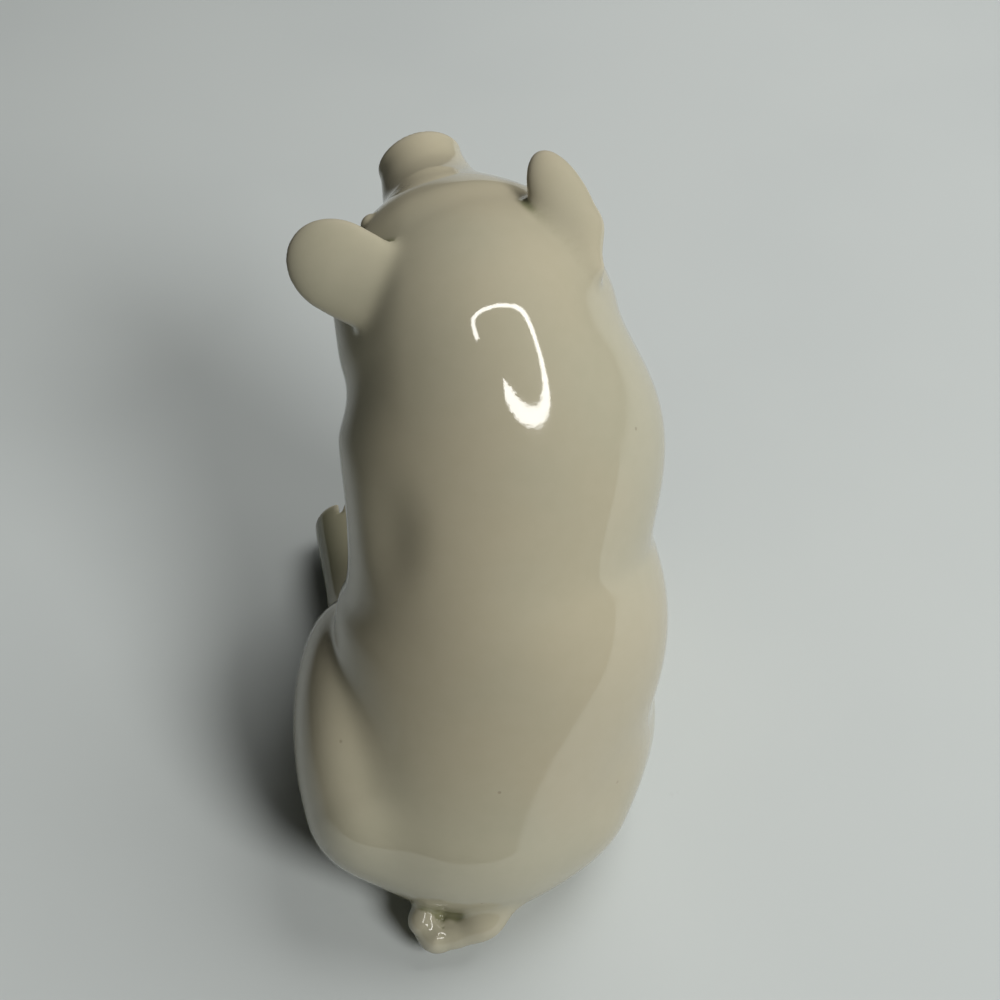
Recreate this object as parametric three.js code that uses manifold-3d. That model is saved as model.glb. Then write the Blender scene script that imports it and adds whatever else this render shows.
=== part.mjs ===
// A seated porcelain pig, about 96 mm tall, as the castings and slip joints it is made from.
// Millimetres, +Z up. The pig faces -Y and its own left is +X. The table is the plane Z = 0, and
// the origin lies on it, under the middle of the figure.
import * as THREE from 'three';
import { ParametricGeometry } from 'three/addons/geometries/ParametricGeometry.js';
import { mergeVertices } from 'three/addons/utils/BufferGeometryUtils.js';
import Module from 'manifold-3d';

// Torso: from the rump on the table, each place on the spine rises and moves forward from the
// one before it, and leans so far towards the pig's right
const RUMP_BACK = 19;
const RUMP_HEIGHT = 16;
const RUMP_WIDTH = 46.6;
const RUMP_DEPTH = 46.6;
const BELLY_RISE = 20.2;
const BELLY_FORWARD = 12.6;
const BELLY_LEAN = 4.2;
const BELLY_WIDTH = 48.4;
const BELLY_DEPTH = 52.5;
const WAIST_RISE = 12.6;
const WAIST_FORWARD = 5.3;
const WAIST_LEAN = 4;
const WAIST_WIDTH = 43.4;
const WAIST_DEPTH = 49.4;
const CHEST_RISE = 14.1;
const CHEST_FORWARD = 6.4;
const CHEST_LEAN = 4.4;
const CHEST_WIDTH = 44.8;
const CHEST_DEPTH = 43.8;
const NECK_RISE = 10.7;
const NECK_FORWARD = 6.2;
const NECK_LEAN = 2;
const NECK_WIDTH = 39;
const NECK_DEPTH = 37.6;
const NECK_DOME = 16.5;

// Walls of the hollow castings, and the vent under the base
const WALL = 3;
const VENT_DIAMETER = 8;

// Joints: a layer of luting slip, with a hairline on each side of it
const SLIP = 0.8;
const HAIRLINE = 0.3;
const NECK_JOINT_SLOPE = 33;

// Head: places along its own axis, forward from the middle of the skull
const HEAD_FORWARD = 2.5;
const HEAD_RISE = 4.9;
const HEAD_LEAN = 1.5;
const HEAD_YAW = 16.5;
const HEAD_PITCH = -8;
const SKULL_WIDTH = 31;
const SKULL_DEPTH = 27.5;
const CHEEK_FORWARD = 8;
const CHEEK_WIDTH = 33;
const CHEEK_DEPTH = 27.5;
const CHEEK_DROP = 2.4;
const CHEEK_LEFT = 1;
const BROW_FORWARD = 13.5;
const BROW_LEFT = 0.8;
const BROW_WIDTH = 27.5;
const BROW_DEPTH = 23.5;
const BROW_DROP = 2.5;
const MUZZLE_FORWARD = 19;
const MUZZLE_WIDTH = 17;
const MUZZLE_DEPTH = 18;
const MUZZLE_DROP = 3;
const NOSE_FORWARD = 25.5;
const NOSE_WIDTH = 13;
const NOSE_DEPTH = 13;
const NOSE_DROP = 3.2;
const SNOUT_FORWARD = 30.5;
const SNOUT_WIDTH = 12.6;
const SNOUT_DEPTH = 12.6;
const SNOUT_DROP = 2.5;
const SNOUT_DOME = 1;

// Ears: the left one stands out sideways, the right one leans forward over the brow. Directions are
// in the head's own axes: left, forward and up
const LEFT_EAR_OUTWARDS = [0.76, 0.64, 0.2];
const LEFT_EAR_BROAD = [-0.6, 0.52, 0.6];
const LEFT_EAR_SPREAD = 12;
const LEFT_EAR_BACK = 2;
const LEFT_EAR_RISE = 7.4;
const LEFT_EAR_LENGTH = 16;
const LEFT_EAR_ROOT = 5;
const LEFT_EAR_ROOT_WIDTH = 9;
const LEFT_EAR_ROOT_THICKNESS = 4.8;
const LEFT_EAR_WIDEST_AT = 8;
const LEFT_EAR_WIDTH = 12;
const LEFT_EAR_THICKNESS = 3.6;
const LEFT_EAR_TIP_WIDTH = 8;
const LEFT_EAR_TIP_THICKNESS = 2.7;
const LEFT_EAR_TIP_DOME = 3.4;
const RIGHT_EAR_OUTWARDS = [-0.11, 0.74, 0.66];
const RIGHT_EAR_BROAD = [0.98, 0.2, -0.03];
const RIGHT_EAR_SPREAD = 9.6;
const RIGHT_EAR_BACK = 1;
const RIGHT_EAR_RISE = 7.2;
const RIGHT_EAR_LENGTH = 14.3;
const RIGHT_EAR_ROOT = 4;
const RIGHT_EAR_ROOT_WIDTH = 11;
const RIGHT_EAR_ROOT_THICKNESS = 5.5;
const RIGHT_EAR_WIDEST_AT = 4.5;
const RIGHT_EAR_WIDTH = 10.4;
const RIGHT_EAR_THICKNESS = 4.2;
const RIGHT_EAR_TIP_WIDTH = 5.4;
const RIGHT_EAR_TIP_THICKNESS = 3.2;
const RIGHT_EAR_TIP_DOME = 3;

// Forelegs: from the shoulder, under the chest, to the hoof on the table
const SHOULDER_SPREAD = 20;
const SHOULDER_DROP = 17.9;
const SHOULDER_FORWARD = 5.2;
const SHOULDER_WIDTH = 18;
const SHOULDER_DEPTH = 22;
const SHOULDER_DOME = 7;
const ELBOW_RISE = 30;
const ELBOW_FORWARD = 3.2;
const ELBOW_WIDTH = 15.5;
const ELBOW_DEPTH = 17;
const FOREARM_RISE = 17;
const FOREARM_FORWARD = 2;
const FOREARM_DIAMETER = 13;
const FETLOCK_RISE = 7.5;
const FETLOCK_DIAMETER = 11;
const FORE_HOOF_WIDTH = 13;
const FORE_HOOF_LENGTH = 14.5;
const FORE_HOOF_DOME = 1;
const FORE_HOOF_REACH = 18;
const FORE_HOOF_SPREAD = 17;
const FORE_HOOF_LEAN = 1.5;

// Hind legs: the haunch lies beside the rump, and the foot lies on the table in front of it
const HAUNCH_SPREAD = 37.5;
const HAUNCH_FORWARD = 3.5;
const HAUNCH_RISE = 18;
const HAUNCH_THICKNESS = 18.6;
const HAUNCH_HEIGHT = 36.6;
const BUTTOCK_BACK = 11;
const BUTTOCK_SPREAD = 31.5;
const BUTTOCK_RISE = 15;
const BUTTOCK_HEIGHT = 29.4;
const BUTTOCK_DOME = 10.6;
const KNEE_REACH = 14;
const KNEE_RISE = 13.5;
const KNEE_THICKNESS = 16;
const KNEE_HEIGHT = 26;
const ANKLE_REACH = 13;
const ANKLE_SPREAD = 42;
const ANKLE_RISE = 6;
const ANKLE_HEIGHT = 12.5;
const FOOT_REACH = 12;
const FOOT_SPREAD = 46;
const FOOT_WIDTH = 9.5;
const FOOT_HEIGHT = 11.5;
const FOOT_SOLE = 0.4;
const TOE_REACH = 11;
const TOE_SPREAD = 49.5;
const TOE_WIDTH = 11;
const TOE_DOME = 3;

// Tail: a short curl behind the foot of the rump. It leaves the rump on the pig's right and each
// place on it lies further left than the one before it
const TAIL_ROOT_RISE = 9.5;
const TAIL_ROOT_RIGHT = 5.5;
const TAIL_BURIED = 4.3;
const TAIL_ROOT_DIAMETER = 4.4;
const TAIL_LOBE_LEFT = 3.9;
const TAIL_LOBE_STANDOFF = 3.3;
const TAIL_LOBE_DROP = 2.3;
const TAIL_LOBE_DIAMETER = 6.2;
const TAIL_TUCK_LEFT = 4.4;
const TAIL_TUCK_STANDOFF = 1.3;
const TAIL_TUCK_DROP = 1.8;
const TAIL_TUCK_DIAMETER = 5.4;
const TAIL_KNOB_LEFT = 3;
const TAIL_KNOB_DIAMETER = 6.6;
const TAIL_TIP_LEFT = 1.8;
const TAIL_TIP_FORWARD = 1.2;
const TAIL_TIP_RISE = 1.2;
const TAIL_TIP_DIAMETER = 5.2;

const PORCELAIN = { color: 0xb5b09e, roughness: 0.12, metalness: 0 };
const SLIP_CLAY = { color: 0xcfc9ba, roughness: 0.6, metalness: 0 };

const CAP_SHARE = 0.2;
const MERGE_TOLERANCE = 1e-4;
const TABLE_REACH = 400;
const LEFTWARDS = new THREE.Vector3(1, 0, 0);
const UPWARDS = new THREE.Vector3(0, 0, 1);

const wasm = await Module();
wasm.setup();

// A closed three.js geometry as a solid that can be joined and cut.
function solid(geometry) {
  geometry.deleteAttribute('normal');
  geometry.deleteAttribute('uv');
  const merged = mergeVertices(geometry, MERGE_TOLERANCE);
  const index = merged.index.array;
  const triangles = [];
  for (let i = 0; i < index.length; i += 3) {
    const [a, b, c] = [index[i], index[i + 1], index[i + 2]];
    if (a !== b && b !== c && c !== a) {
      triangles.push(a, b, c);
    }
  }
  return new wasm.Manifold(new wasm.Mesh({
    numProp: 3,
    vertProperties: new Float32Array(merged.attributes.position.array),
    triVerts: new Uint32Array(triangles),
  }));
}

// A place that lies so far to the pig's left of, forward of and above another.
function from(place, left, forward, up) {
  return new THREE.Vector3(place.x + left, place.y - forward, place.z + up);
}

// A station of a loft: the centre of its section and the section's full sizes.
function station(place, width, depth) {
  return { place, wide: width / 2, deep: depth / 2 };
}

// A loft has elliptical sections on a smooth spine and a rounded cap past each end. A section's
// width lies towards side and its depth across that. grow moves the whole skin out, or in where
// it is negative.
function loft(stations, { side, caps, sides, rings, grow = 0 }) {
  const spine = new THREE.CatmullRomCurve3(stations.map((s) => s.place));
  const sizes = new THREE.CatmullRomCurve3(stations.map((s) => new THREE.Vector3(s.wide, s.deep, 0)));
  const surface = (u, v, target) => {
    const along = THREE.MathUtils.clamp((v - CAP_SHARE) / (1 - 2 * CAP_SHARE), 0, 1);
    const bulge = Math.min(v / CAP_SHARE, (1 - v) / CAP_SHARE, 1) * Math.PI / 2;
    const reach = along < 0.5 ? -(caps[0] + grow) : caps[1] + grow;
    const tangent = spine.getTangent(along);
    const across = new THREE.Vector3().crossVectors(tangent, side).normalize();
    const sideways = new THREE.Vector3().crossVectors(across, tangent);
    const size = sizes.getPoint(along);
    const turn = 2 * Math.PI * u;
    target.copy(spine.getPoint(along));
    target.addScaledVector(tangent, reach * Math.cos(bulge));
    target.addScaledVector(sideways, (size.x + grow) * Math.sin(bulge) * Math.cos(turn));
    target.addScaledVector(across, (size.y + grow) * Math.sin(bulge) * Math.sin(turn));
  };
  return solid(new ParametricGeometry(surface, sides, rings));
}

// A round upright hole through a place, to be cut out of a casting.
function uprightHole(diameter, place, length) {
  const hole = new THREE.CylinderGeometry(diameter / 2, diameter / 2, length, 24);
  hole.rotateX(Math.PI / 2);
  hole.translate(place.x, place.y, place.z);
  return solid(hole);
}

// Everything below a level plane through a place, or below one that falls forward by slope degrees.
function below(place, slope = 0) {
  const block = new THREE.BoxGeometry(TABLE_REACH, TABLE_REACH, TABLE_REACH);
  block.translate(0, 0, -TABLE_REACH / 2);
  block.rotateX(THREE.MathUtils.degToRad(slope));
  block.translate(place.x, place.y, place.z);
  return solid(block);
}

// The body itself, without the crumbs that a cut along a grazing surface leaves behind.
function withoutCrumbs(body) {
  const pieces = body.decompose();
  return pieces.reduce((largest, piece) => (piece.volume() > largest.volume() ? piece : largest));
}

const group = new THREE.Group();

function addPart(name, body, look) {
  const mesh = withoutCrumbs(body).getMesh();
  const geometry = new THREE.BufferGeometry();
  geometry.setAttribute('position', new THREE.BufferAttribute(new Float32Array(mesh.vertProperties), 3));
  geometry.setIndex(new THREE.BufferAttribute(new Uint32Array(mesh.triVerts), 1));
  geometry.computeVertexNormals();
  const part = new THREE.Mesh(geometry, new THREE.MeshStandardMaterial(look));
  part.name = name;
  group.add(part);
}

// Torso
const rump = new THREE.Vector3(0, RUMP_BACK, RUMP_HEIGHT);
const belly = from(rump, -BELLY_LEAN, BELLY_FORWARD, BELLY_RISE);
const waist = from(belly, BELLY_LEAN - WAIST_LEAN, WAIST_FORWARD, WAIST_RISE);
const chest = from(waist, WAIST_LEAN - CHEST_LEAN, CHEST_FORWARD, CHEST_RISE);
const neck = from(chest, CHEST_LEAN - NECK_LEAN, NECK_FORWARD, NECK_RISE);

function torsoSkin(grow) {
  const stations = [
    station(rump, RUMP_WIDTH, RUMP_DEPTH),
    station(belly, BELLY_WIDTH, BELLY_DEPTH),
    station(waist, WAIST_WIDTH, WAIST_DEPTH),
    station(chest, CHEST_WIDTH, CHEST_DEPTH),
    station(neck, NECK_WIDTH, NECK_DEPTH),
  ];
  const caps = [RUMP_DEPTH / 2, NECK_DOME];
  return loft(stations, { side: LEFTWARDS, caps, sides: 30, rings: 20, grow });
}

// Head
const skull = from(neck, NECK_LEAN - HEAD_LEAN, HEAD_FORWARD, HEAD_RISE);
const headTurn = new THREE.Quaternion().setFromEuler(new THREE.Euler(
  THREE.MathUtils.degToRad(HEAD_PITCH), 0, THREE.MathUtils.degToRad(HEAD_YAW), 'ZYX',
));

// A direction given in the head's own axes: left, forward and up.
function headDirection(left, forward, up) {
  return new THREE.Vector3(left, -forward, up).applyQuaternion(headTurn);
}

// A place on the head, given the same way from the middle of the skull.
function onHead(left, forward, up) {
  return headDirection(left, forward, up).add(skull);
}

const headSide = headDirection(1, 0, 0);
const headStations = [
  station(skull, SKULL_WIDTH, SKULL_DEPTH),
  station(onHead(CHEEK_LEFT, CHEEK_FORWARD, -CHEEK_DROP), CHEEK_WIDTH, CHEEK_DEPTH),
  station(onHead(BROW_LEFT, BROW_FORWARD, -BROW_DROP), BROW_WIDTH, BROW_DEPTH),
  station(onHead(0, MUZZLE_FORWARD, -MUZZLE_DROP), MUZZLE_WIDTH, MUZZLE_DEPTH),
  station(onHead(0, NOSE_FORWARD, -NOSE_DROP), NOSE_WIDTH, NOSE_DEPTH),
  station(onHead(0, SNOUT_FORWARD, -SNOUT_DROP), SNOUT_WIDTH, SNOUT_DEPTH),
];

function headSkin(grow) {
  const caps = [SKULL_DEPTH / 2, SNOUT_DOME];
  return loft(headStations, { side: headSide, caps, sides: 22, rings: 18, grow });
}

// The hollow of the head ends in the muzzle, so the snout is solid.
function headHollow() {
  const caps = [SKULL_DEPTH / 2, WALL];
  return loft(headStations.slice(0, 4), { side: headSide, caps, sides: 18, rings: 12, grow: -WALL });
}

// The two hollow castings meet on a plane through the neck, with a ring of slip between them.
const neckJointNormal = UPWARDS.clone().applyAxisAngle(
  LEFTWARDS, THREE.MathUtils.degToRad(NECK_JOINT_SLOPE),
);

function belowNeckJoint(lift) {
  return below(neck.clone().addScaledVector(neckJointNormal, lift), NECK_JOINT_SLOPE);
}

const origin = new THREE.Vector3();
const table = below(origin);
const hollow = torsoSkin(-WALL).subtract(below(from(origin, 0, 0, WALL))).add(headHollow());
const vent = uprightHole(VENT_DIAMETER, from(rump, 0, 0, -RUMP_HEIGHT), 4 * WALL);
const shell = torsoSkin(0).add(headSkin(0)).subtract(hollow).subtract(vent).subtract(table);
const neckGap = SLIP / 2 + HAIRLINE;
addPart('torso', shell.intersect(belowNeckJoint(-neckGap)), PORCELAIN);
addPart('head', shell.subtract(belowNeckJoint(neckGap)), PORCELAIN);
const neckSlip = shell.intersect(belowNeckJoint(SLIP / 2)).subtract(belowNeckJoint(-SLIP / 2));
addPart('neck_slip', neckSlip, SLIP_CLAY);

// The skin of the body at a distance from it, to seat the pieces that are luted on.
function bodySkin(grow) {
  return torsoSkin(grow).add(headSkin(grow));
}

const seat = bodySkin(HAIRLINE);
const slipTop = bodySkin(HAIRLINE + SLIP);
const clear = bodySkin(HAIRLINE + SLIP + HAIRLINE);

// A luted piece and its slip: the piece stops short of the body, and the slip fills the joint.
function addLuted(name, whole) {
  const standing = whole.subtract(table);
  addPart(name, standing.subtract(clear), PORCELAIN);
  addPart(`${name}_slip`, standing.intersect(slipTop).subtract(seat), SLIP_CLAY);
}

// Ears: a leaf runs outwards from its root, and its width lies along broad
function ear(root, outwards, broad, { buried, widestAt, length, dome, sections }) {
  const at = (distance) => root.clone().addScaledVector(outwards.clone().normalize(), distance);
  const [base, middle, tip] = sections;
  const stations = [
    station(at(-buried), ...base),
    station(at(widestAt), ...middle),
    station(at(length - dome), ...tip),
  ];
  return loft(stations, { side: broad, caps: [base[1] / 2, dome], sides: 14, rings: 10 });
}

addLuted('left_ear', ear(
  onHead(LEFT_EAR_SPREAD, -LEFT_EAR_BACK, LEFT_EAR_RISE),
  headDirection(...LEFT_EAR_OUTWARDS),
  headDirection(...LEFT_EAR_BROAD),
  {
    buried: LEFT_EAR_ROOT,
    widestAt: LEFT_EAR_WIDEST_AT,
    length: LEFT_EAR_LENGTH,
    dome: LEFT_EAR_TIP_DOME,
    sections: [
      [LEFT_EAR_ROOT_WIDTH, LEFT_EAR_ROOT_THICKNESS],
      [LEFT_EAR_WIDTH, LEFT_EAR_THICKNESS],
      [LEFT_EAR_TIP_WIDTH, LEFT_EAR_TIP_THICKNESS],
    ],
  },
));
addLuted('right_ear', ear(
  onHead(-RIGHT_EAR_SPREAD, -RIGHT_EAR_BACK, RIGHT_EAR_RISE),
  headDirection(...RIGHT_EAR_OUTWARDS),
  headDirection(...RIGHT_EAR_BROAD),
  {
    buried: RIGHT_EAR_ROOT,
    widestAt: RIGHT_EAR_WIDEST_AT,
    length: RIGHT_EAR_LENGTH,
    dome: RIGHT_EAR_TIP_DOME,
    sections: [
      [RIGHT_EAR_ROOT_WIDTH, RIGHT_EAR_ROOT_THICKNESS],
      [RIGHT_EAR_WIDTH, RIGHT_EAR_THICKNESS],
      [RIGHT_EAR_TIP_WIDTH, RIGHT_EAR_TIP_THICKNESS],
    ],
  },
));

// Legs: hand is 1 on the pig's left and -1 on its right
function foreleg(hand) {
  const shoulder = from(chest, hand * SHOULDER_SPREAD / 2, SHOULDER_FORWARD, -SHOULDER_DROP);
  const hoofLeft = hand * FORE_HOOF_SPREAD / 2 - FORE_HOOF_LEAN;
  const hoof = from(shoulder, hoofLeft - shoulder.x, FORE_HOOF_REACH, -shoulder.z);
  const atHeight = (rise, forward) => from(hoof.clone().lerp(shoulder, rise / shoulder.z), 0, forward, 0);
  const stations = [
    station(shoulder, SHOULDER_WIDTH, SHOULDER_DEPTH),
    station(atHeight(ELBOW_RISE, ELBOW_FORWARD), ELBOW_WIDTH, ELBOW_DEPTH),
    station(atHeight(FOREARM_RISE, FOREARM_FORWARD), FOREARM_DIAMETER, FOREARM_DIAMETER),
    station(atHeight(FETLOCK_RISE, 0), FETLOCK_DIAMETER, FETLOCK_DIAMETER),
    station(hoof, FORE_HOOF_WIDTH, FORE_HOOF_LENGTH),
  ];
  return loft(stations, { side: LEFTWARDS, caps: [SHOULDER_DOME, FORE_HOOF_DOME], sides: 14, rings: 15 });
}

function hindLeg(hand) {
  const haunch = from(rump, hand * HAUNCH_SPREAD / 2, HAUNCH_FORWARD, HAUNCH_RISE - RUMP_HEIGHT);
  const onSide = (spread, reach, rise) => new THREE.Vector3(hand * spread / 2, haunch.y - reach, rise);
  const footRise = FOOT_HEIGHT / 2 - FOOT_SOLE;
  const toFoot = KNEE_REACH + ANKLE_REACH + FOOT_REACH;
  const stations = [
    station(onSide(BUTTOCK_SPREAD, -BUTTOCK_BACK, BUTTOCK_RISE), HAUNCH_THICKNESS, BUTTOCK_HEIGHT),
    station(haunch, HAUNCH_THICKNESS, HAUNCH_HEIGHT),
    station(onSide(HAUNCH_SPREAD, KNEE_REACH, KNEE_RISE), KNEE_THICKNESS, KNEE_HEIGHT),
    station(onSide(ANKLE_SPREAD, KNEE_REACH + ANKLE_REACH, ANKLE_RISE), FOOT_WIDTH, ANKLE_HEIGHT),
    station(onSide(FOOT_SPREAD, toFoot, footRise), FOOT_WIDTH, FOOT_HEIGHT),
    station(onSide(TOE_SPREAD, toFoot + TOE_REACH, footRise), TOE_WIDTH, FOOT_HEIGHT),
  ];
  return loft(stations, { side: LEFTWARDS, caps: [BUTTOCK_DOME, TOE_DOME], sides: 18, rings: 20 });
}

for (const [hand, sign] of [['left', 1], ['right', -1]]) {
  addLuted(`${hand}_foreleg`, foreleg(sign));
  addLuted(`${hand}_hind_leg`, hindLeg(sign));
}

// Tail
function curledTail() {
  const buried = TAIL_BURIED - RUMP_DEPTH / 2;
  const root = from(rump, -TAIL_ROOT_RIGHT, buried, TAIL_ROOT_RISE - RUMP_HEIGHT);
  const lobe = from(root, TAIL_LOBE_LEFT, -TAIL_LOBE_STANDOFF, -TAIL_LOBE_DROP);
  const tuck = from(lobe, TAIL_TUCK_LEFT, -TAIL_TUCK_STANDOFF, -TAIL_TUCK_DROP);
  const knob = from(tuck, TAIL_KNOB_LEFT, 0, 0);
  const tip = from(knob, TAIL_TIP_LEFT, TAIL_TIP_FORWARD, TAIL_TIP_RISE);
  const stations = [
    station(root, TAIL_ROOT_DIAMETER, TAIL_ROOT_DIAMETER),
    station(lobe, TAIL_LOBE_DIAMETER, TAIL_LOBE_DIAMETER),
    station(tuck, TAIL_TUCK_DIAMETER, TAIL_TUCK_DIAMETER),
    station(knob, TAIL_KNOB_DIAMETER, TAIL_KNOB_DIAMETER),
    station(tip, TAIL_TIP_DIAMETER, TAIL_TIP_DIAMETER),
  ];
  const caps = [TAIL_ROOT_DIAMETER / 2, TAIL_TIP_DIAMETER / 2];
  return loft(stations, { side: UPWARDS, caps, sides: 12, rings: 18 });
}

addLuted('tail', curledTail());

export default group;
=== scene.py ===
"""A seated porcelain pig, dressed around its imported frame.

The pig is shaped as one flowing skin. Every casting is a smooth distance field, the fields melt
into each other where slip and glaze fill the joints, and the skin is then parted along those
joints into the castings and slip layers of the frame. The pig's own sizes are millimetres, in the
frame's axes: the pig faces -Y, its left is +X and the table is Z = 0. Blender objects are in metres.
"""
import logging
import math
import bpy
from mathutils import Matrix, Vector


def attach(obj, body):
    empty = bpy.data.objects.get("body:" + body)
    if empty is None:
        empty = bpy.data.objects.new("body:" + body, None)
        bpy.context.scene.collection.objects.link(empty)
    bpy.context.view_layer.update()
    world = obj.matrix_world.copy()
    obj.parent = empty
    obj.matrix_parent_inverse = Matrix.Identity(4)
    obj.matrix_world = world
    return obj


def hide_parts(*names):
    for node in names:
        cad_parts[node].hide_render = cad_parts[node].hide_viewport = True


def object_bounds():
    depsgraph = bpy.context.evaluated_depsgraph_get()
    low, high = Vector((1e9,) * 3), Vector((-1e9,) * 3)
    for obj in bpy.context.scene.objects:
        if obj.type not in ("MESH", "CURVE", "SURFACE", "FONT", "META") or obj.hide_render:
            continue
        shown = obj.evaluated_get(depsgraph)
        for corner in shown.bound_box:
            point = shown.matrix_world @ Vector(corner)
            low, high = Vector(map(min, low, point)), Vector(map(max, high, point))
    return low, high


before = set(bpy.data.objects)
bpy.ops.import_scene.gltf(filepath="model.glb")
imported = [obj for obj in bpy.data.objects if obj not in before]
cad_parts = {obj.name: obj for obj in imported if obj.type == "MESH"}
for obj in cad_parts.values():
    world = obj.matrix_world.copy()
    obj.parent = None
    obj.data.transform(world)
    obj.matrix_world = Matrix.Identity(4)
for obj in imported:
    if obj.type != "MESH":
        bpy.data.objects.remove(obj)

from concurrent.futures import ThreadPoolExecutor
from dataclasses import dataclass, field
from enum import Enum
from itertools import product
from typing import Callable, Sequence

import bpy
import numpy as np
from mathutils import Matrix, Vector
from mathutils.geometry import delaunay_2d_cdt

CAD_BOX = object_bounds()
MM = 0.001
FAR = 60.0
SLIP = 0.8
HAIRLINE = 0.3
SOLE_FACING = -0.9
SOLE_RISE = 0.4
# where the trotters get pooled glaze and painted shade: how far ahead and how low
TROTTER_AHEAD = (12.0, 24.0)
TROTTER_BELOW = (-15.0, -7.0)
LOG = logging.getLogger("pig")

Field = Callable[[np.ndarray], np.ndarray]


class Hand(Enum):
    """The pig's own left or right, as the sign of X on that side."""

    LEFT = 1
    RIGHT = -1


class Slot(Enum):
    """The record's material slots."""

    PORCELAIN = "glazed_porcelain"
    SLIP = "luting_slip"


def unit(vector: Sequence[float]) -> np.ndarray:
    """Returns the vector at length one."""
    v = np.asarray(vector, float)
    return v / np.linalg.norm(v, axis=-1, keepdims=True)


def ease(x: np.ndarray, low: float, high: float) -> np.ndarray:
    """Rises smoothly from 0 at low to 1 at high.

    Args:
        x: Where to read the curve.
        low: Where it starts to rise.
        high: Where it is full.

    Returns:
        Values from 0 to 1.
    """
    s = np.clip((x - low) / (high - low), 0.0, 1.0)
    return s * s * (3.0 - 2.0 * s)


def melt(a: np.ndarray, b: np.ndarray, reach: float | np.ndarray) -> np.ndarray:
    """Joins two distance fields with a fillet.

    Args:
        a: Distances to the one solid.
        b: Distances to the other.
        reach: How near the two have to be for the fillet to fill in.

    Returns:
        Distances to the joined solid.
    """
    share = np.maximum(reach - np.abs(a - b), 0.0) / reach
    return np.minimum(a, b) - share**3 * reach / 6.0


def carve(a: np.ndarray, b: np.ndarray, reach: float) -> np.ndarray:
    """Cuts solid b out of solid a and rounds the edge.

    Args:
        a: Distances to the solid that is cut.
        b: Distances to what is cut away.
        reach: How wide the edge is rounded.

    Returns:
        Distances to what is left.
    """
    return -melt(-a, b, reach)


class Spline:
    """A cubic spline through rows of values, one row per unit of its parameter."""

    def __init__(self, rows: Sequence[Sequence[float]], level_ends: bool = False) -> None:
        """Solves for the spline's bends.

        Args:
            rows: The values to pass through.
            level_ends: Whether the values stop changing at the two ends.
        """
        self.rows = np.asarray(rows, float)
        self.last = len(self.rows) - 1
        system = np.eye(self.last + 1)
        pull = np.zeros_like(self.rows)
        if level_ends:
            system[0, :2] = (2.0, 1.0)
            system[-1, -2:] = (1.0, 2.0)
            pull[0] = 6.0 * (self.rows[1] - self.rows[0])
            pull[-1] = 6.0 * (self.rows[-2] - self.rows[-1])
        for i in range(1, self.last):
            system[i, i - 1 : i + 2] = (1.0, 4.0, 1.0)
            pull[i] = 6.0 * (self.rows[i - 1] - 2.0 * self.rows[i] + self.rows[i + 1])
        self.bends = np.linalg.solve(system, pull)

    def _split(self, t: np.ndarray) -> tuple[np.ndarray, np.ndarray, np.ndarray]:
        """Returns the span that each t falls in, and its shares of the span's two ends."""
        span = np.clip(t.astype(int), 0, self.last - 1)
        after = (t - span)[:, None]
        return span, 1.0 - after, after

    def at(self, t: np.ndarray) -> np.ndarray:
        """Returns the spline's values at each t."""
        i, a, b = self._split(t)
        curve = (a**3 - a) * self.bends[i] + (b**3 - b) * self.bends[i + 1]
        return a * self.rows[i] + b * self.rows[i + 1] + curve / 6.0

    def slope(self, t: np.ndarray) -> np.ndarray:
        """Returns the spline's slope at each t."""
        i, a, b = self._split(t)
        curve = (1.0 - 3.0 * a**2) * self.bends[i] + (3.0 * b**2 - 1.0) * self.bends[i + 1]
        return self.rows[i + 1] - self.rows[i] + curve / 6.0

    def bend(self, t: np.ndarray) -> np.ndarray:
        """Returns how the spline's slope changes at each t."""
        i, a, b = self._split(t)
        return a * self.bends[i] + b * self.bends[i + 1]


@dataclass(frozen=True)
class Section:
    """One section of a loft: its centre, and how far it reaches to each side of it."""

    place: Sequence[float]
    left: float
    right: float
    back: float
    front: float


def oval(place: Sequence[float], width: float, depth: float) -> Section:
    """Returns an even section from its full width and depth."""
    return Section(place, width / 2, width / 2, depth / 2, depth / 2)


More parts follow.
